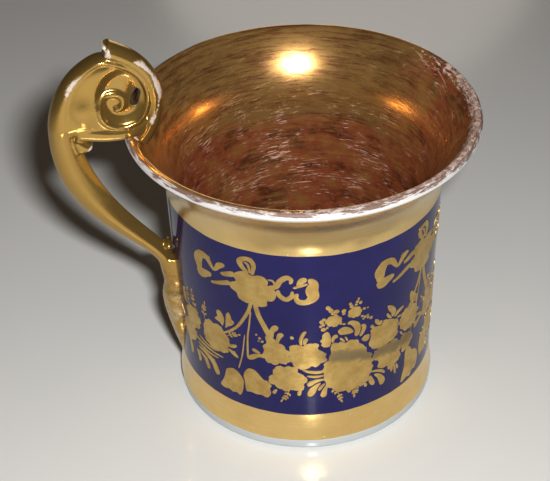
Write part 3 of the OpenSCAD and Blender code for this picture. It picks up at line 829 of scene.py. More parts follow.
    def leaf(self):
        """The fluted leaf on the wall, from its neck over a knuckle to its tip."""
        share = np.array([0, 0.10, 0.20, 0.27, 0.36, 0.5, 0.66, 0.83, 1])
        depth = np.array([0.93, 0.90, 0.80, 0.74, 0.98, 0.92, 0.70, 0.42, 0.06]) * 4.6
        width = np.array([0.60, 0.66, 0.74, 0.66, 0.92, 1.0, 0.80, 0.52, 0.10]) * self.leaf_w / 2
        t = np.linspace(0, 1, 90)
        z = mix(self.stem_z + 2.5, self.tip_z, t)
        blur = np.hanning(15) / np.hanning(15).sum()
        deep, wide = (np.convolve(np.pad(np.interp(t, share, c), 7, mode="edge"), blur, "valid")
                      for c in (depth, width))
        wide *= 1 + 0.07 * np.sin(2 * math.pi * (4.3 * t + 0.1)) * soft_step(0.3, 0.45, t)
        a = np.linspace(-math.pi / 2, math.pi / 2, 41)
        flute = 1 - 0.13 * soft_step(0.28, 0.5, t)[:, None] * (1 - np.cos(5 * a)) / 2
        reach = self.cup.outer(z)[:, None] + deep[:, None] * np.cos(a) ** 0.75 * flute
        back = np.full((len(z), 1), 1.0) * (self.cup.outer(z)[:, None] - 1.5)
        reach = np.hstack([reach, back, back])
        side = np.hstack([wide[:, None] * np.sin(a), wide[:, None] * 0.9, -wide[:, None] * 0.9])
        n = reach.shape[1]
        points = np.stack([-reach, side, np.repeat(z[:, None], n, axis=1)], -1).reshape(-1, 3)
        return points, skin_faces(len(z), n)

    def forms(self):
        """Every closed form that the handle is modelled from."""
        r, h = self.r, self.half
        stem, band = self.stem(), self.band()
        crest = 0.9 + 0.6 * np.sin(math.pi * np.linspace(0, 1, len(stem))) ** 0.6
        yield swept(np.vstack([stem, band]), 40, np.append(crest, np.full(len(band), 0.9)))
        yield swept(self.back(), 28, 0.9)
        yield self.face()
        yield swept(self.chin(), 28, 0.7)
        yield wrapped(knob(self.at(0.90, -0.50), 0.34 * r, 0.96 * h),
                      knob(self.at(0.56, -0.40), 0.44 * r, h),
                      knob(self.at(0.86, -0.17), 0.22 * r, 0.87 * h))
        spur = [(*self.at(o, u), s * y) for o, u, y in SPUR for s in (-1, 1)]
        yield wrapped(np.array([[-reach, side, height] for reach, height, side in spur]))
        yield wrapped(knob(self.at(0.70, -1.13), 1.4, 0.84 * h),
                      knob(self.at(0.52, -1.11), 1.26, 0.78 * h),
                      knob(self.at(0.76, -0.92), 1.4, 0.84 * h))
        run = stem[13, :2] - stem[11, :2]
        inward = np.array([-run[1], run[0]]) / np.linalg.norm(run)
        yield wrapped(knob(stem[12, :2] + inward * (stem[12, 2] + 0.35), 1.26, 2.43))
        yield self.leaf()

    def eye_line(self):
        """The middle of the slot that pierces the scroll, and half its straight length along the slot."""
        lean = math.radians(15)
        return self.at(-0.59, 0.0), 1.35 * np.array([-math.sin(lean), math.cos(lean)])

    def eye(self):
        """The slot that pierces the scroll."""
        middle, reach = self.eye_line()
        rim = [middle + s * reach + 0.95 * np.array([math.cos(a), math.sin(a)])
               for s in (-1, 1) for a in np.arange(24) * math.pi / 12]
        return wrapped(np.array([[-p[0], y, p[1]] for p in rim for y in (-9, 9)]))

    def from_eye(self, reach, height):
        """Distance from the middle line of the slot."""
        middle, way = self.eye_line()
        off = np.stack([reach - middle[0], height - middle[1]], -1)
        share = np.clip(off @ way / (way @ way), -1, 1)
        return np.linalg.norm(off - share[:, None] * way, axis=1)


def modelled(forms, hole, grain, name):
    """One smooth skin over overlapping closed forms, pierced by a hole."""
    points, faces = [], []
    for form_points, form_faces in forms:
        start = len(points)
        points.extend(map(tuple, form_points))
        faces.extend(tuple(start + i for i in f) for f in form_faces)
    clay = placed("clay", mesh_of("clay", points, faces))
    cutter = placed("cutter", mesh_of("cutter", *hole))
    first = clay.modifiers.new("skin", "REMESH")
    first.mode, first.voxel_size = "VOXEL", grain
    soften = clay.modifiers.new("soften", "SMOOTH")
    soften.factor, soften.iterations = 0.5, 4
    pierce = clay.modifiers.new("pierce", "BOOLEAN")
    pierce.operation, pierce.object, pierce.solver = "DIFFERENCE", cutter, "EXACT"
    second = clay.modifiers.new("skin_again", "REMESH")
    second.mode, second.voxel_size = "VOXEL", grain
    finish = clay.modifiers.new("finish", "SMOOTH")
    finish.factor, finish.iterations = 0.5, 14
    bpy.context.view_layer.update()
    skin = bpy.data.meshes.new_from_object(clay.evaluated_get(bpy.context.evaluated_depsgraph_get()))
    skin.name = name
    for spare in (clay, cutter):
        used = spare.data
        bpy.data.objects.remove(spare)
        bpy.data.meshes.remove(used)
    return skin


def points_of(mesh):
    flat = np.zeros(len(mesh.vertices) * 3)
    mesh.vertices.foreach_get("co", flat)
    return flat.reshape(-1, 3) / MM


def set_points(mesh, points):
    mesh.vertices.foreach_set("co", (points * MM).ravel())
    mesh.update()


def keep_off_wall(mesh, cup, sink):
    """Flattens what lies inside the wall against it, just under its face, and keeps the handle's reach."""
    p = points_of(mesh)
    radius = np.hypot(p[:, 0], p[:, 1])
    least = cup.outer(p[:, 2]) - sink
    inside = (p[:, 2] < cup.neck_seam) & (radius < least)
    p[inside, :2] *= (least[inside] / np.maximum(radius[inside], 1e-6))[:, None]
    p[:, 0] = np.maximum(p[:, 0], bottom_of("handle", 0) / MM)
    set_points(mesh, p)


def mark_wear(mesh, reach, form):
    """Stores where the gold is worn, as it stands out or hands rub it, and the shade of the eye."""
    p = points_of(mesh)
    edges = np.zeros(len(mesh.edges) * 2, int)
    mesh.edges.foreach_get("vertices", edges)
    a, b = edges.reshape(-1, 2).T
    ends = np.concatenate([a, b])
    count = np.maximum(np.bincount(ends, minlength=len(p)), 1)

    def average(values):
        return np.bincount(ends, np.concatenate([values[b], values[a]]), len(p)) / count

    normals = np.zeros(len(p) * 3)
    mesh.vertices.foreach_get("normal", normals)
    normals = normals.reshape(-1, 3)
    smooth = p.T
    for _ in range(10):
        smooth = [average(column) for column in smooth]
    standing = ((p - np.stack(smooth, -1)) * normals).sum(1)
    for _ in range(2):
        standing = average(standing)
    edge = np.clip(standing / reach, 0, 1)
    out = (-p[:, 0] - form.centre[0]) / form.r
    up = (p[:, 2] - form.centre[1]) / form.r
    rubbed = np.maximum.reduce([ridge(out, up, line) for line in RUBBED])
    wear = np.clip(0.3 * edge + rubbed * (0.65 + 0.35 * edge), 0, 1.2)
    shade = 1 - soft_step(1.0, 1.45, form.from_eye(-p[:, 0], p[:, 2]))
    for name, values in (("edge_wear", wear * (1 - shade)), ("eye_shade", shade)):
        mesh.attributes.new(name, "FLOAT", "POINT").data.foreach_set("value", values.astype(np.float32))


# Garland

class Drawing:
    """Flat gilt shapes on the unrolled wall: along the wall, height, and how far each place swells."""

    def __init__(self):
        self.shapes = []

    def disc(self, rim, middle, swell=1.0):
        rim, middle = np.asarray(rim, float), np.asarray(middle, float)
        n, rings = len(rim), (0.35, 0.7, 0.9, 1.0)
        points = [(*middle, swell)]
        for f in rings:
            points.extend((*p, swell * math.sqrt(max(0.0, 1 - f * f))) for p in middle + f * (rim - middle))
        faces = [(0, 1 + k, 1 + (k + 1) % n) for k in range(n)]
        for i in range(len(rings) - 1):
            s = 1 + i * n
            faces += [(s + k, s + n + k, s + n + (k + 1) % n, s + (k + 1) % n) for k in range(n)]
        self.shapes.append((np.array(points), faces))

    def strip(self, rows, swell=1.0, fold=0.0):
        """A ribbon, cord or leaf along rows of place and width; fold sinks its middle line."""
        rows = np.asarray(rows, float)
        run = np.gradient(rows[:, :2], axis=0)
        run /= np.maximum(np.linalg.norm(run, axis=1), 1e-9)[:, None]
        across = np.stack([-run[:, 1], run[:, 0]], -1)
        columns = np.array([-1, -0.6, -0.12, 0.12, 0.6, 1])
        rise = np.sqrt(1 - columns ** 2) - fold * (np.abs(columns) < 0.3)
        n = len(columns)
        flat = rows[:, None, :2] + across[:, None, :] * (rows[:, 2:3] / 2 * columns)[:, :, None]
        size = np.clip(rows[:, 2] / max(rows[:, 2].max(), 1e-6), 0, 1)
        standing = swell * size[:, None] * rise[None, :]
        points = np.concatenate([flat, standing[:, :, None]], -1).reshape(-1, 3)
        faces = [(i * n + k, i * n + k + 1, (i + 1) * n + k + 1, (i + 1) * n + k)
                 for i in range(len(rows) - 1) for k in range(n - 1)]
        self.shapes.append((points, faces))

    def ribbon(self, places, swell=1.0, steps=7):
        """A ribbon with rounded ends through places that hold a width each."""
        rows = smooth_line(places, steps)
        along = np.concatenate([[0], np.cumsum(np.linalg.norm(np.diff(rows[:, :2], axis=0), axis=1))])
        for reach, end in ((along, rows[0, 2]), (along[-1] - along, rows[-1, 2])):
            share = np.clip(reach / max(end * 0.6, 0.15), 0.02, 1)
            rows[:, 2] *= np.sqrt(1 - (1 - share) ** 2)
        self.strip(rows, swell)

    def leaf(self, base, tip, width, bend=0.0, fold=0.5):
        """A pointed leaf from base to tip that bows to its left by bend."""
        base, tip = np.array(base, float), np.array(tip, float)
        run = tip - base
        side = np.array([-run[1], run[0]]) * bend
        t = np.linspace(0, 1, 15)[:, None]
        line = base + run * t + side * (4 * t * (1 - t))
        shape = np.sin(math.pi * np.clip(t, 0, 1) ** 0.8) ** 0.75
        self.strip(np.hstack([line, width * np.maximum(shape, 0.05)]), 1.0, fold)

    def petal(self, place, angle, long, wide, notch=0.12):
        """A rounded petal that points away along an angle, with a notch in its edge."""
        a = np.linspace(0, 2 * math.pi, 22, endpoint=False)
        r = 1 - notch * np.exp(-(np.minimum(a, 2 * math.pi - a) / 0.35) ** 2) + 0.03 * np.sin(5 * a)
        flat = np.stack([long * r * np.cos(a), wide * r * np.sin(a)], -1)
        c, s = math.cos(angle), math.sin(angle)
        self.disc(np.asarray(place) + flat @ np.array([[c, s], [-s, c]]), place)

    def flower(self, u, z, wide, high, petals=7, turn=0.0):
        """A rose of two rings of petals round a small middle."""
        rings = ((0.56, petals, 0.47, 0.40), (0.27, petals - 2, 0.33, 0.30), (0, 1, 0.2, 0.2))
        for share, count, long, broad in rings:
            for k in range(count):
                a = turn + 2 * math.pi * (k + 0.5 * (share < 0.5)) / count
                uneven = 1 + 0.09 * math.sin(3.1 * k + 5 * turn + u)
                place = (u + wide * share * math.cos(a), z + high * share * math.sin(a))
                self.petal(place, a, (wide + high) / 2 * long * uneven, (wide + high) / 2 * broad * uneven)

    def sprig(self, base, tip, pairs, long, bend=0.1):
        """A thin twig with pairs of small leaves and one at its end."""
        base, tip = np.array(base, float), np.array(tip, float)
        run = tip - base
        side = np.array([-run[1], run[0]])
        t = np.linspace(0, 1, 12)[:, None]
        line = base + run * t + side * bend * (4 * t * (1 - t))
        self.strip(np.hstack([line, np.full((12, 1), 0.22)]), 0.4)
        ahead = math.atan2(run[1], run[0])
        for k in range(pairs):
            at = line[int(round(11 * (k + 1.0) / (pairs + 1)))]
            for way in (-1, 1):
                a = ahead + way * 0.95
                reach = long * (1 - 0.12 * k)
                self.leaf(at, at + reach * np.array([math.cos(a), math.sin(a)]), long * 0.55, 0.1 * way)
        self.leaf(line[-2], line[-2] + long * np.array([math.cos(ahead), math.sin(ahead)]), long * 0.5)

    def outline(self, places, swell=1.0, frill=0.0):
        """A flat shape with a closed edge through a few places; frill is the depth of its petals."""
        ring = np.array(places, float)
        wide = np.vstack([ring[-2:], ring, ring[:3]])
        steps = 6 if frill else 4
        rim = smooth_line(wide, steps)[2 * steps:(2 + len(ring)) * steps]
        ahead = np.roll(rim, -1, axis=0)
        area = rim[:, 0] * ahead[:, 1] - ahead[:, 0] * rim[:, 1]
        middle = ((rim + ahead) * area[:, None]).sum(0) / (3 * area.sum())
        if frill:
            out = (rim - middle) / np.linalg.norm(rim - middle, axis=1)[:, None]
            along = np.cumsum(np.linalg.norm(ahead - rim, axis=1))
            petals = max(5, round(along[-1] / 2.3))
            turn = math.pi * along / along[-1]
            wave = np.abs(np.sin(petals * turn + 0.5 * np.sin(3 * turn)))
            rim = rim + out * (0.15 + frill * (np.sqrt(wave) - 0.3))[:, None]
        self.disc(rim if area.sum() > 0 else rim[::-1], middle, swell)

    def laid(self, cup, angle, lift, swell, flip=1):
        """Points and faces of the shapes laid on the wall from an angle, each a thin closed piece."""
        points, faces = [], []
        for order, (flat, shape_faces) in enumerate(self.shapes):
            start, n = len(points), len(flat)
            a = angle + flip * flat[:, 0] / cup.garland_r
            ground = cup.outer(flat[:, 1]) + cup.coat
            for radius in (ground + lift + 0.012 * (order % 5) + swell * flat[:, 2], ground - 0.06):
                points.extend(zip(radius * np.cos(a), radius * np.sin(a), flat[:, 1]))
            edges = {}
            for f in shape_faces:
                faces.append(tuple(start + i for i in f))
                faces.append(tuple(start + n + i for i in reversed(f)))
                for i, k in zip(f, f[1:] + f[:1]):
                    edges[(i, k)] = True
            for i, k in edges:
                if (k, i) not in edges:
                    faces.append((start + k, start + i, start + n + i, start + n + k))
        return points, faces


# Places of the garland in millimetres: along the wall from the middle of a bow, then height.
# Ribbons, cords and strokes add a width, and buds a radius. Florets and flowers add two radii,
# a number of petals and a turn. A sprig holds its foot and tip, its pairs of leaves and their length.
# Other rows are closed outlines.
BOW_RIBBONS = [
    [(-17.6, 53.6, 2.0), (-17.0, 54.8, 2.6), (-17.0, 56.8, 3.2), (-15.6, 58.8, 2.4), (-13.6, 58.7, 1.9),
     (-12.4, 57.2, 1.4), (-11.5, 56.0, 0.9), (-10.6, 56.6, 1.2), (-9.6, 58.0, 1.7), (-8.4, 58.6, 1.6),
     (-7.9, 58.2, 1.0)],
    [(-12.4, 53.7, 1.2), (-14.2, 53.2, 2.2), (-16.2, 52.6, 3.2), (-17.9, 53.0, 2.0)],
    [(-9.2, 55.6, 0.8), (-7.4, 56.2, 1.5), (-4.8, 57.3, 1.8)],
    [(-12.8, 51.2, 0.7), (-10, 52.2, 1.2), (-6.3, 53.9, 1.6)],
    [(3.8, 55.2, 1.4), (6.2, 56.0, 1.4), (7.2, 57.9, 1.5), (8.8, 59.2, 1.5), (10.0, 58.6, 1.1),
     (9.7, 57.2, 0.7)],
    [(6.6, 55.0, 0.9), (6.9, 53.4, 1.3), (8.5, 52.1, 1.4), (10.0, 53.2, 1.2), (10.2, 54.9, 0.7)],
    [(4.1, 57.9, 0.5), (5.4, 57.7, 0.6), (5.8, 56.4, 0.6), (5.0, 55.3, 0.6)],
    [(10.4, 55.9, 0.7), (12.2, 56.6, 0.8), (14.1, 57.3, 0.6)],
    [(11.6, 56.4, 1.0), (12.5, 58.2, 1.7), (13.9, 58.9, 1.6)],
    [(14.4, 58.9, 1.4), (15.5, 57.2, 2.4), (15.1, 55.0, 3.2), (15.4, 52.9, 2.8), (13.8, 51.4, 1.8),
     (11.9, 51.4, 1.6), (11.1, 52.8, 1.2), (11.5, 54.2, 1.0)],
    [(-1.0, 58.8, 1.0), (-2.6, 60.6, 1.5), (-3.1, 62.2, 1.6), (-1.9, 63.3, 1.3), (-0.2, 63.2, 1.5),
     (0.6, 61.8, 1.3), (0.4, 60.0, 1.0), (0.0, 58.6, 1.0)],
    [(-2.0, 62.3, 0.5), (-1.0, 61.6, 0.8), (-0.6, 60.2, 0.7), (-0.6, 58.9, 0.6)],
]
BOW_CORDS = [
    [(-0.7, 49.0, 1.0), (-1.6, 46.0, 0.95), (-3.5, 42.2, 0.9), (-5.3, 39.3, 0.8), (-7.8, 36.8, 0.7),
     (-10.2, 35.0, 0.6)],
    [(0.4, 49.0, 1.3), (1.3, 45.2, 1.4), (2.6, 42.2, 1.5), (3.8, 39.3, 1.6), (4.2, 37.4, 1.8)],
    [(-0.9, 46.4, 0.5), (-1.6, 41.0, 0.45), (-2.2, 36.8, 0.5), (-2.5, 29.5, 0.6)],
    [(-3.0, 37.7, 0.3), (-4.1, 30.2, 0.38), (-5.5, 24.8, 0.38)],
]
BOW_KNOT = [
    (-4.9, 57.5), (-3.7, 58.5), (-2.0, 59.1), (-0.1, 58.3), (1.8, 58.8), (3.4, 58.3), (4.2, 57.2),
    (4.0, 55.7), (5.2, 55.3), (6.1, 54.1), (6.0, 52.3), (5.1, 51.0), (3.7, 50.7), (3.6, 49.2),
    (1.8, 48.5), (-0.7, 48.7), (-2.4, 48.9), (-4.1, 49.7), (-4.6, 51.3), (-6.2, 52.2), (-6.6, 53.5),
    (-5.8, 54.4), (-4.6, 55.2), (-5.2, 56.4),
]
FIRST_BELLS = [
    [(-9.4, 22.9), (-7.6, 23.9), (-6.3, 23.6), (-5.3, 22.9), (-4.3, 21.4), (-4.1, 20.2), (-4.4, 18.1),
     (-4.8, 16.4), (-5.5, 15.2), (-6.6, 15.7), (-7.8, 15.3), (-9.1, 15.8), (-10.5, 15.4), (-12.1, 16.0),
     (-11.1, 18.1), (-10.3, 20.2), (-9.9, 21.8)],
    [(-1.8, 26.1), (-0.3, 25.6), (0.9, 24.3), (2.0, 23.1), (3.2, 22.6), (4.0, 21.6), (3.5, 20.4),
     (3.8, 18.9), (3.1, 17.4), (2.2, 17.1), (1.1, 17.6), (-0.3, 17.4), (-2.0, 17.7), (-3.3, 17.5),
     (-3.7, 18.9), (-3.8, 21.0), (-4.1, 22.7), (-3.6, 24.4), (-2.8, 25.6)],
]
NEXT_BELLS = [
    [(-5.5, 24.8), (-4.0, 23.9), (-2.9, 22.2), (-1.0, 21.2), (0.4, 18.9), (0.3, 15.8), (-0.8, 14.2),
     (-2.2, 14.5), (-3.4, 13.1), (-5.2, 13.6), (-7.3, 13.1), (-7.4, 14.8), (-6.5, 17.6), (-6.2, 20.6),
     (-6.2, 22.8)],
    [(2.2, 24.6), (3.8, 24.0), (5.2, 22.0), (6.3, 19.6), (6.0, 17.4), (4.8, 16.4), (3.4, 17.0),
     (2.0, 16.5), (1.2, 18.2), (1.0, 20.6), (1.3, 23.0)],
]

SWAG_BLOOMS = [
    [(3.4, 39.0), (4.6, 38.7), (5.6, 37.2), (7.2, 36.1), (8.0, 34.9), (9.0, 33.9), (8.7, 32.6),
     (9.0, 31.4), (8.0, 30.2), (6.8, 30.4), (5.1, 29.7), (3.4, 30.1), (2.7, 31.0), (1.4, 31.6),
     (2.6, 33.1), (2.4, 34.8), (3.2, 36.4), (3.0, 38.0)],
    [(3.6, 24.3), (4.8, 26.0), (5.1, 27.7), (6.7, 28.8), (7.8, 28.4), (8.9, 28.9), (10.8, 28.3),
     (11.2, 26.8), (12.9, 25.6), (13.2, 23.9), (12.3, 23.1), (12.6, 21.8), (11.3, 20.9), (9.7, 21.3),
     (8.0, 20.7), (6.4, 21.3), (5.2, 22.2), (3.9, 22.7)],
    [(9.3, 35.6), (10.9, 36.7), (12.2, 36.1), (13.4, 36.5), (15.1, 37.1), (16.5, 36.4), (16.4, 34.8),
     (18.3, 33.6), (18.0, 32.4), (18.7, 31.4), (16.8, 30.2), (15.6, 29.4), (14.6, 29.8), (13.4, 28.7),
     (11.4, 28.9), (10.1, 30.4), (9.7, 31.6), (9.3, 32.8), (9.7, 34.2)],
    [(20.2, 36.0), (22.3, 36.4), (23.8, 35.9), (25.3, 36.3), (26.9, 36.0), (28.1, 34.1), (29.5, 32.6),
     (29.8, 30.9), (31.4, 29.4), (31.2, 28.2), (31.9, 27.2), (31.3, 26.2), (31.8, 25.0), (30.9, 22.9),
     (30.4, 20.9), (28.4, 19.7), (26.6, 20.3), (25.2, 18.7), (24.0, 19.6), (22.3, 19.9), (20.4, 21.2),
     (18.9, 22.4), (19.0, 23.7), (18.3, 24.8), (18.7, 26.0), (18.0, 27.2), (18.5, 28.4), (18.4, 29.4),
     (19.7, 31.2), (20.2, 33.4)],
    [(31.2, 37.2), (32.3, 38.4), (34.0, 38.0), (35.7, 39.2), (37.3, 38.4), (39.0, 37.8), (40.0, 36.4),
     (39.5, 35.3), (39.8, 34.3), (39.9, 32.8), (38.6, 31.5), (36.5, 31.1), (34.4, 30.5), (32.8, 31.2),
     (31.4, 32.3), (31.0, 34.3), (31.6, 35.6)],
    [(41.6, 37.2), (43.2, 38.7), (44.5, 38.4), (45.7, 38.9), (47.7, 37.7), (48.3, 36.3), (49.2, 35.2),
     (48.2, 34.4), (48.4, 33.1), (46.5, 31.9), (44.0, 31.5), (42.4, 32.7), (41.2, 34.7)],
    [(32.6, 29.6), (34.2, 29.9), (35.7, 30.4), (37.4, 30.0), (39.0, 30.6), (40.7, 29.4), (42.7, 27.2),
     (41.2, 25.7), (41.6, 23.6), (39.9, 22.3), (38.6, 21.2), (37.4, 21.4), (36.9, 23.0), (34.9, 23.2),
     (34.0, 24.4), (34.2, 26.2), (32.6, 27.0)],
    [(42.6, 30.2), (44.6, 29.8), (46.4, 28.6), (46.6, 26.8), (45.2, 25.2), (43.6, 24.4), (42.4, 25.2),
     (42.9, 26.9), (42.0, 28.6)],
]
SWAG_FLORETS = [(20.7, 44.3, 2.4, 1.9, 7, 0.4), (26.3, 45.9, 2.1, 1.9, 7, 0.9)]
SWAG_BUDS = [
    (19.2, 48.9, 0.75), (19.9, 47.9, 0.8), (20.4, 46.9, 0.6), (21.4, 47.4, 0.75), (21.1, 46.3, 0.5),
    (18.1, 45.1, 0.6), (17.5, 44.3, 0.7), (18.0, 43.4, 0.55), (17.3, 42.9, 0.5), (18.0, 41.8, 0.75),
    (19.0, 42.3, 0.4), (23.3, 47.1, 0.7), (23.3, 46.2, 0.5), (25.0, 49.0, 0.55), (25.3, 48.1, 0.6),
    (27.2, 50.2, 0.4), (26.9, 49.3, 0.55), (27.8, 48.7, 0.55), (26.6, 48.4, 0.45), (28.9, 46.3, 0.5),
    (29.9, 46.3, 0.3), (28.4, 43.9, 0.45), (29.2, 43.4, 0.5), (28.7, 42.9, 0.35), (30.1, 42.9, 0.45),
    (31.0, 42.4, 0.55), (30.0, 43.7, 0.35), (0.3, 38.6, 0.4), (1.2, 37.6, 0.5), (1.9, 36.7, 0.5),
    (0.9, 36.6, 0.3), (9.8, 39.2, 0.6), (23.4, 42.7, 0.4), (22.6, 43.0, 0.4),
]
SWAG_LEAVES = [
    [(19.0, 40.9), (19.8, 39.4), (20.0, 37.4), (19.6, 35.8), (18.2, 35.7), (17.4, 36.5), (17.6, 37.2),
     (17.1, 37.9), (17.7, 38.8), (17.7, 39.9)],
    [(21.8, 40.6), (22.6, 41.5), (24.0, 41.6), (25.3, 40.7), (26.0, 39.4), (25.0, 39.0), (23.6, 39.1),
     (22.4, 39.3)],
    [(28.4, 35.8), (29.2, 36.9), (30.6, 36.9), (30.6, 35.4), (29.6, 34.8)],
    [(36.1, 43.9), (37.4, 43.5), (38.7, 42.2), (39.2, 40.8), (38.5, 39.4), (37.8, 39.6), (37.4, 41.0),
     (36.6, 42.2)],
    [(44.8, 44.0), (46.2, 43.0), (47.4, 41.4), (47.0, 39.5), (45.8, 39.4), (44.9, 40.6), (44.5, 42.2)],
]
SWAG_STROKES = [
    [(4.6, 38.6, 0.9), (4.6, 40.6, 1.3), (5.5, 42.0, 1.8), (6.4, 42.4, 1.3)],
    [(5.8, 36.6, 0.8), (6.3, 38.6, 1.1), (6.9, 39.9, 1.5), (7.5, 39.4, 0.8)],
    [(2.4, 31.7, 0.9), (0.4, 31.4, 1.2), (-1.2, 30.4, 1.6), (-2.4, 29.5, 0.9)],
    [(1.2, 32.4, 0.6), (-0.2, 32.9, 1.1), (-1.0, 33.4, 0.9)],
    [(12.2, 36.6, 0.7), (12.1, 38.6, 0.9), (12.8, 40.6, 1.0), (13.5, 41.5, 0.7)],
    [(13.0, 36.8, 0.6), (13.3, 38.4, 1.2), (14.0, 38.8, 0.9)],
    [(20.4, 36.9, 0.5), (20.6, 38.3, 1.0), (21.2, 39.0, 1.2), (21.5, 38.3, 0.6)],
    [(24.3, 42.6, 0.8), (25.5, 42.6, 1.4), (26.8, 41.4, 1.9), (27.2, 39.6, 1.6), (26.8, 37.6, 1.2)],
    [(28.2, 41.0, 0.7), (29.0, 40.2, 1.2), (28.7, 38.6, 1.1), (27.9, 37.2, 0.7)],
    [(22.4, 38.2, 0.4), (23.0, 37.4, 0.7), (23.6, 36.6, 0.5)],
    [(23.7, 38.3, 0.35), (24.2, 37.4, 0.5), (24.4, 36.6, 0.4)],
    [(33.9, 38.6, 0.6), (33.0, 40.0, 1.2), (32.4, 41.1, 0.8)],
    [(34.0, 38.6, 0.5), (34.2, 39.6, 1.0), (34.4, 40.0, 0.7)],
    [(32.3, 38.2, 0.5), (31.4, 39.2, 1.0), (31.0, 39.6, 0.6)],
    [(37.6, 39.2, 0.6), (36.7, 40.2, 0.9), (36.0, 41.4, 0.6)],
    [(38.8, 38.8, 0.6), (40.2, 40.0, 1.2), (42.2, 40.7, 0.7)],
    [(39.8, 38.0, 0.5), (40.6, 38.1, 0.8), (41.3, 38.0, 0.5)],
    [(47.4, 38.6, 0.6), (47.9, 40.2, 1.1), (47.8, 41.4, 0.7)],
    [(41.2, 32.4, 0.4), (42.0, 31.2, 0.6), (42.2, 30.6, 0.4)],
    [(18.6, 24.5, 0.5), (16.4, 24.2, 1.0), (14.6, 23.3, 1.5), (13.9, 22.3, 0.9)],
    [(17.2, 23.3, 0.5), (15.9, 22.0, 1.3), (14.9, 20.3, 2.0), (14.1, 18.6, 1.3)],
    [(18.4, 23.0, 0.4), (17.4, 21.8, 0.9), (16.7, 20.6, 0.6)],
    [(19.2, 22.6, 0.5), (18.5, 21.0, 1.1), (18.0, 19.0, 1.7), (17.8, 18.1, 0.9)],
    [(18.4, 25.9, 0.5), (16.0, 25.6, 0.8), (13.6, 25.9, 0.6)],
    [(18.2, 27.4, 0.6), (16.4, 27.1, 1.0), (13.8, 27.6, 0.9), (12.4, 28.4, 0.6)],
    [(31.6, 23.2, 0.5), (33.4, 22.8, 0.8), (35.2, 21.8, 0.9), (36.2, 20.7, 0.6)],
    [(31.3, 22.0, 0.6), (31.7, 20.0, 1.5), (32.6, 18.2, 1.3)],
    [(32.6, 21.9, 0.5), (34.2, 20.5, 1.4), (35.3, 18.4, 2.0), (35.0, 16.9, 1.4)],
    [(39.0, 21.6, 0.5), (38.6, 20.4, 0.9), (38.4, 19.8, 0.5)],
    [(39.6, 21.8, 0.4), (39.8, 19.8, 0.8), (40.1, 18.2, 0.6)],
    [(40.3, 21.6, 0.4), (40.8, 20.2, 0.8), (41.0, 19.4, 0.5)],
    [(5.4, 20.6, 0.5), (4.8, 19.6, 1.0), (4.5, 18.8, 0.8)],
    [(11.8, 21.0, 0.6), (11.5, 19.8, 1.1), (11.3, 18.9, 0.7)],
    [(29.4, 20.2, 0.5), (30.0, 19.2, 0.9), (29.7, 18.6, 0.5)],
]
SWAG_SPRIGS = [
    ((20.2, 21.2), (22.8, 15.8), 4, 1.3), ((26.6, 20.6), (26.5, 16.9), 3, 1.35),
    ((8.8, 20.8), (6.6, 16.9), 3, 1.1),
]
END_BLOOMS = [
    [(-16.6, 35.2), (-15.1, 36.8), (-13.2, 36.4), (-11.2, 36.9), (-9.9, 35.2), (-8.5, 33.6), (-8.3, 32.2),
     (-8.9, 30.6), (-9.2, 28.9), (-11.2, 28.2), (-13.7, 27.8), (-15.8, 28.6), (-17.0, 29.8),
     (-17.2, 31.8), (-17.0, 33.9)],
]
END_FLOWERS = [(-22.4, 33.4, 3.9, 3.8, 7, 0.2), (-25.2, 27.4, 3.9, 3.6, 8, 0.8)]
END_LEAVES = [
    [(-11.8, 41.8), (-10.8, 42.6), (-9.6, 41.5), (-9.3, 39.8), (-9.9, 37.7), (-10.8, 38.4), (-12.6, 39.0),
     (-11.6, 40.2)],
    [(-8.5, 42.2), (-7.6, 43.2), (-7.0, 42.2), (-6.8, 41.1), (-6.0, 40.5), (-6.7, 39.3), (-7.8, 38.5),
     (-9.0, 37.4), (-8.8, 39.4)],
]
END_STROKES = [
    [(-8.4, 31.4, 0.6), (-7.0, 31.9, 1.2), (-5.7, 32.6, 0.7)],
    [(-8.6, 30.4, 0.6), (-6.9, 29.5, 1.3), (-5.4, 28.5, 0.7)],
    [(-10.4, 26.2, 0.5), (-14.0, 26.2, 0.7), (-19.0, 26.8, 0.9), (-22.0, 27.6, 0.8)],
    [(-12.2, 25.0, 0.4), (-16.0, 24.9, 0.8), (-21.0, 25.6, 0.9)],
    [(-12.8, 27.1, 0.4), (-17.0, 27.6, 0.7), (-20.0, 28.6, 0.7)],
    [(-20.8, 24.2, 0.8), (-17.4, 23.8, 1.4), (-14.6, 22.4, 2.0), (-13.3, 19.8, 2.0), (-13.4, 18.6, 1.2)],
    [(-20.4, 22.9, 0.6), (-18.0, 21.6, 1.3), (-16.8, 19.6, 1.6), (-17.2, 18.7, 0.9)],
    [(-21.8, 22.6, 0.8), (-20.6, 20.4, 1.4), (-20.8, 18.9, 0.8)],
    [(-26.0, 24.0, 0.8), (-25.0, 21.0, 1.6), (-25.2, 18.6, 0.9)],
    [(-26.0, 36.0, 0.8), (-27.0, 38.4, 1.6), (-27.4, 40.6, 0.8)],
    [(-28.4, 29.4, 0.8), (-30.2, 30.6, 1.4), (-31.2, 32.2, 0.7)],
    [(-28.4, 26.4, 0.8), (-30.2, 25.2, 1.4), (-31.4, 23.8, 0.7)],
]
END_SPRIGS = [
    ((-8.6, 34.8), (-4.8, 36.6), 3, 1.1), ((-16.6, 36.4), (-16.0, 42.0), 3, 1.3),
    ((-20.4, 36.8), (-21.8, 42.4), 3, 1.3), ((-24.2, 36.4), (-24.6, 41.2), 2, 1.2),
]


def bow_drawing(bells):
    drawn = Drawing()
    for row in BOW_CORDS:
        drawn.ribbon(row, 0.8)
    for row in BOW_RIBBONS:
        drawn.ribbon(row)
    for ring in (BOW_KNOT, *bells):
        drawn.outline(ring)
    return drawn


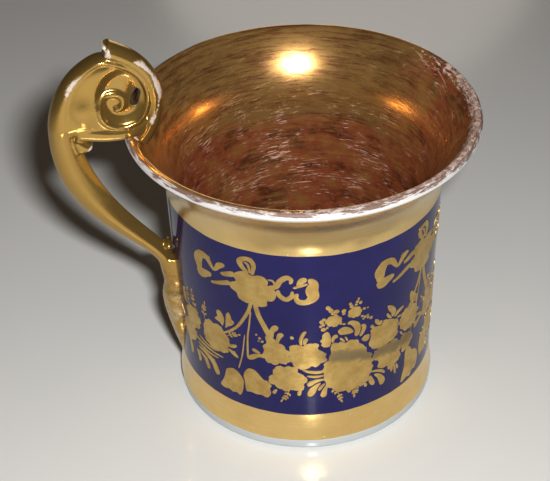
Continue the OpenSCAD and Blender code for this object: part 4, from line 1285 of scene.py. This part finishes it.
def flower_drawing(blooms, flowers, buds):
    drawn = Drawing()
    for ring in blooms:
        drawn.outline(ring, frill=0.5)
    for row in flowers:
        drawn.flower(*row)
    for u, z, r in buds:
        drawn.petal((u, z), u + z, r, 0.8 * r)
    return drawn


def leaf_drawing(leaves, strokes, sprigs):
    drawn = Drawing()
    for ring in leaves:
        drawn.outline(ring)
    for row in strokes:
        drawn.ribbon(row, 1.0, 5)
    for row in sprigs:
        drawn.sprig(*row)
    return drawn


# Operators

def cup_and_scene():
    scene = bpy.context.scene
    return CupForm(scene.cup_sizes), scene


class CUP_OT_porcelain(bpy.types.Operator):
    """Turns the white porcelain cup"""
    bl_idname = "cup.porcelain"
    bl_label = "Porcelain"

    def execute(self, context):
        cup, scene = cup_and_scene()
        rows = np.repeat(cup.outline()[:, None, :], cup.turns, axis=1)
        piece("porcelain_wall", *turned(rows, False), porcelain_finish(scene.cup_colours, cup),
              "white_porcelain", "body")
        return {"FINISHED"}


class CUP_OT_coats(bpy.types.Operator):
    """Lays the cobalt ground, the gilt bands and the gilding inside"""
    bl_idname = "cup.coats"
    bl_label = "Cobalt and gilding"

    def execute(self, context):
        cup, scene = cup_and_scene()
        n = cup.turns
        low, neck = hand_edge(n, 0.10, 0.4), hand_edge(n, 0.14, 2.3)
        foot, lip = hand_edge(n, 0.06, 1.1), hand_edge(n, 0.16, 3.7)
        lip_top = top_of("neck_band", 2) / MM - 0.2
        gold = band_finish(scene.cup_colours)
        piece("cobalt_wall", *turned(wall_coat(cup, cup.low_seam, cup.neck_seam, 40, low, neck), True),
              cobalt_finish(scene.cup_colours), "cobalt_colour", "cobalt_ground")
        piece("gilt_neck", *turned(wall_coat(cup, cup.neck_seam, lip_top, 40, neck, lip), True),
              gold, "gilt_band", "neck_band")
        piece("gilt_base", *turned(wall_coat(cup, cup.foot_h, cup.low_seam, 14, foot, low), True),
              gold, "gilt_band", "base_band")
        piece("gilt_inside", *turned(inside_coat(cup, hand_edge(n, 0.22, 5.2)), True),
              inside_finish(scene.cup_colours, cup), "worn_gilding", "inner_gilding")
        return {"FINISHED"}


class CUP_OT_handle(bpy.types.Operator):
    """Models the scroll handle with its pierced volute, spur and leaf"""
    bl_idname = "cup.handle"
    bl_label = "Scroll handle"

    def execute(self, context):
        cup, scene = cup_and_scene()
        form = HandleForm(scene.handle_sizes, cup)
        skin = modelled(form.forms(), form.eye(), scene.handle_sizes.grain, "scroll_handle")
        keep_off_wall(skin, cup, sink=0.3)
        mark_wear(skin, reach=0.12, form=form)
        settle("scroll_handle", skin, handle_finish(scene.cup_colours), "gilt_handle", "handle", sharp=180)
        return {"FINISHED"}


class CUP_OT_slip(bpy.types.Operator):
    """Gives the slip joints their finish"""
    bl_idname = "cup.slip"
    bl_label = "Slip joints"

    def execute(self, context):
        finish = slip_finish(context.scene.cup_colours)
        for node in ("rim_slip", "wall_slip"):
            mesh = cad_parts[node].data
            mesh.materials.clear()
            mesh.materials.append(finish)
        return {"FINISHED"}


class CUP_OT_garland(bpy.types.Operator):
    """Lays the gilt garland with its bows, cords, bells, flowers and leaves"""
    bl_idname = "cup.garland"
    bl_label = "Garland"

    def execute(self, context):
        cup, scene = cup_and_scene()
        g = scene.garland_sizes
        lift, swell = g.thickness / MM, g.swell / MM
        finish = garland_finish(scene.cup_colours, cup, g.first_bow)
        bows = [g.first_bow + k * g.spacing for k in range(4)]
        swags = [(a, 1) for a in bows[:3]]
        ends = [(bows[0], 1), (bows[3], -1)]
        flowers = flower_drawing(SWAG_BLOOMS, SWAG_FLORETS, SWAG_BUDS)
        end_flowers = flower_drawing(END_BLOOMS, END_FLOWERS, [])
        leaves = leaf_drawing(SWAG_LEAVES, SWAG_STROKES, SWAG_SPRIGS)
        end_leaves = leaf_drawing(END_LEAVES, END_STROKES, END_SPRIGS)
        bells = [FIRST_BELLS, NEXT_BELLS, NEXT_BELLS, NEXT_BELLS]
        groups = {
            "garland_bows": [(bow_drawing(pair), a, 1) for pair, a in zip(bells, bows)],
            "garland_flowers": [(flowers, *at) for at in swags] + [(end_flowers, *at) for at in ends],
            "garland_leaves": [(leaves, *at) for at in swags] + [(end_leaves, *at) for at in ends],
        }
        for name, drawings in groups.items():
            points, faces = [], []
            for drawn, angle, flip in drawings:
                new_points, new_faces = drawn.laid(cup, angle, lift, swell, flip)
                faces.extend(tuple(len(points) + i for i in f) for f in new_faces)
                points.extend(new_points)
            piece(name, points, faces, finish, "gilt_band", sharp=50)
        return {"FINISHED"}


# Fill lamps: place, aim, width, power in watts and tint
FILL_LAMPS = {
    "sky": (Vector((0.15, 0.25, 0.9)), Vector((0, 0, 0.04)), 0.7, 0.07, (1, 0.70, 0.44)),
    "back": (Vector((0.22, 0.82, 0.24)), Vector((0, 0, 0.06)), 0.35, 0.42, (1, 0.90, 0.78)),
}
ROOM_GLOW = (0.014, 0.009, 0.005, 1)
# Radius of the flat table top and of the curve at its edge, in millimetres
TABLE_REACH = 1500
COVE_RADIUS = 700


def table_mesh(colours):
    """A round table top that turns up at its edge."""
    rows = [(0.0, 0.0), (300, 0), (900, 0), (TABLE_REACH, 0)]
    for a in np.linspace(0, 1.2, 12)[1:]:
        rows.append((TABLE_REACH + COVE_RADIUS * math.sin(a), COVE_RADIUS * (1 - math.cos(a))))
    mesh = mesh_of("table", *turned(np.repeat(np.array(rows)[:, None, :], 64, axis=1), False))
    mesh.polygons.foreach_set("use_smooth", [True] * len(mesh.polygons))
    mesh.materials.append(table_finish(colours))
    return mesh


def set_camera(scene, studio, eye, aim):
    """Sets the camera at the photo's angle and returns the ways right and up, without the roll."""
    ahead = (aim - eye).normalized()
    right = ahead.cross(Vector((0, 0, 1))).normalized()
    up = right.cross(ahead)
    c, s = math.cos(studio.roll), math.sin(studio.roll)
    lens = bpy.data.cameras.new("camera")
    lens.sensor_width = 36
    lens.lens = studio.focal_pixels * lens.sensor_width / IMAGE_WIDTH
    lens.clip_start, lens.clip_end = 0.01, 20
    axes = Matrix((c * right + s * up, c * up - s * right, -ahead)).transposed()
    scene.camera = placed("camera", lens)
    scene.camera.matrix_world = Matrix.Translation(eye) @ axes.to_4x4()
    return right, up


def lamp(name, place, aim, width, power, tint, flat=1.0):
    light = bpy.data.lights.new(name, "AREA")
    light.shape, light.size, light.size_y = "ELLIPSE", width, width * flat
    light.energy, light.color = power, tint
    thing = placed(name, light)
    thing.location = place
    thing.rotation_mode = "QUATERNION"
    thing.rotation_quaternion = (aim - place).to_track_quat("-Z", "Y")


class CUP_OT_stage(bpy.types.Operator):
    """Sets the table, the lamps and the camera"""
    bl_idname = "cup.stage"
    bl_label = "Stage"

    def execute(self, context):
        scene = context.scene
        studio = scene.studio_settings
        table = placed("table", table_mesh(scene.cup_colours))
        eye, aim = Vector(studio.eye), Vector(studio.aim)
        right, up = set_camera(scene, studio, eye, aim)
        lamp("key", eye + 0.026 * right + 0.021 * up, aim, studio.key_size, studio.key_power,
             (1, 0.99, 0.965), 0.45)
        for name, row in FILL_LAMPS.items():
            lamp(name, *row)
        world = bpy.data.worlds.new("room")
        world.use_nodes = True
        world.node_tree.nodes["Background"].inputs["Color"].default_value = ROOM_GLOW
        scene.world = world
        scene.view_settings.view_transform = "Standard"
        return {"FINISHED"}


class CUP_PT_panel(bpy.types.Panel):
    """Lists the cup's pieces in the sidebar"""
    bl_idname = "CUP_PT_panel"
    bl_label = "Gilt cup"
    bl_space_type = "VIEW_3D"
    bl_region_type = "UI"
    bl_category = "Cup"

    def draw(self, context):
        for operator in OPERATORS:
            self.layout.operator(operator.bl_idname)
        for name, group in GROUPS.items():
            box = self.layout.box()
            box.label(text=group.__doc__)
            for key in group.__annotations__:
                box.prop(getattr(context.scene, name), key)


GROUPS = {"cup_sizes": CupSizes, "handle_sizes": HandleSizes, "garland_sizes": GarlandSizes,
          "cup_colours": CupColours, "studio_settings": StudioSettings}
OPERATORS = (CUP_OT_porcelain, CUP_OT_coats, CUP_OT_handle, CUP_OT_slip, CUP_OT_garland, CUP_OT_stage)


def register():
    for group in (*GROUPS.values(), *OPERATORS, CUP_PT_panel):
        bpy.utils.register_class(group)
    for name, group in GROUPS.items():
        setattr(bpy.types.Scene, name, PointerProperty(type=group))


def unregister():
    for name in GROUPS:
        delattr(bpy.types.Scene, name)
    for group in reversed((*GROUPS.values(), *OPERATORS, CUP_PT_panel)):
        bpy.utils.unregister_class(group)


def main():
    register()
    bpy.ops.cup.porcelain()
    bpy.ops.cup.coats()
    bpy.ops.cup.handle()
    bpy.ops.cup.slip()
    bpy.ops.cup.garland()
    bpy.ops.cup.stage()
    bpy.context.view_layer.update()


if __name__ == "__main__":
    main()
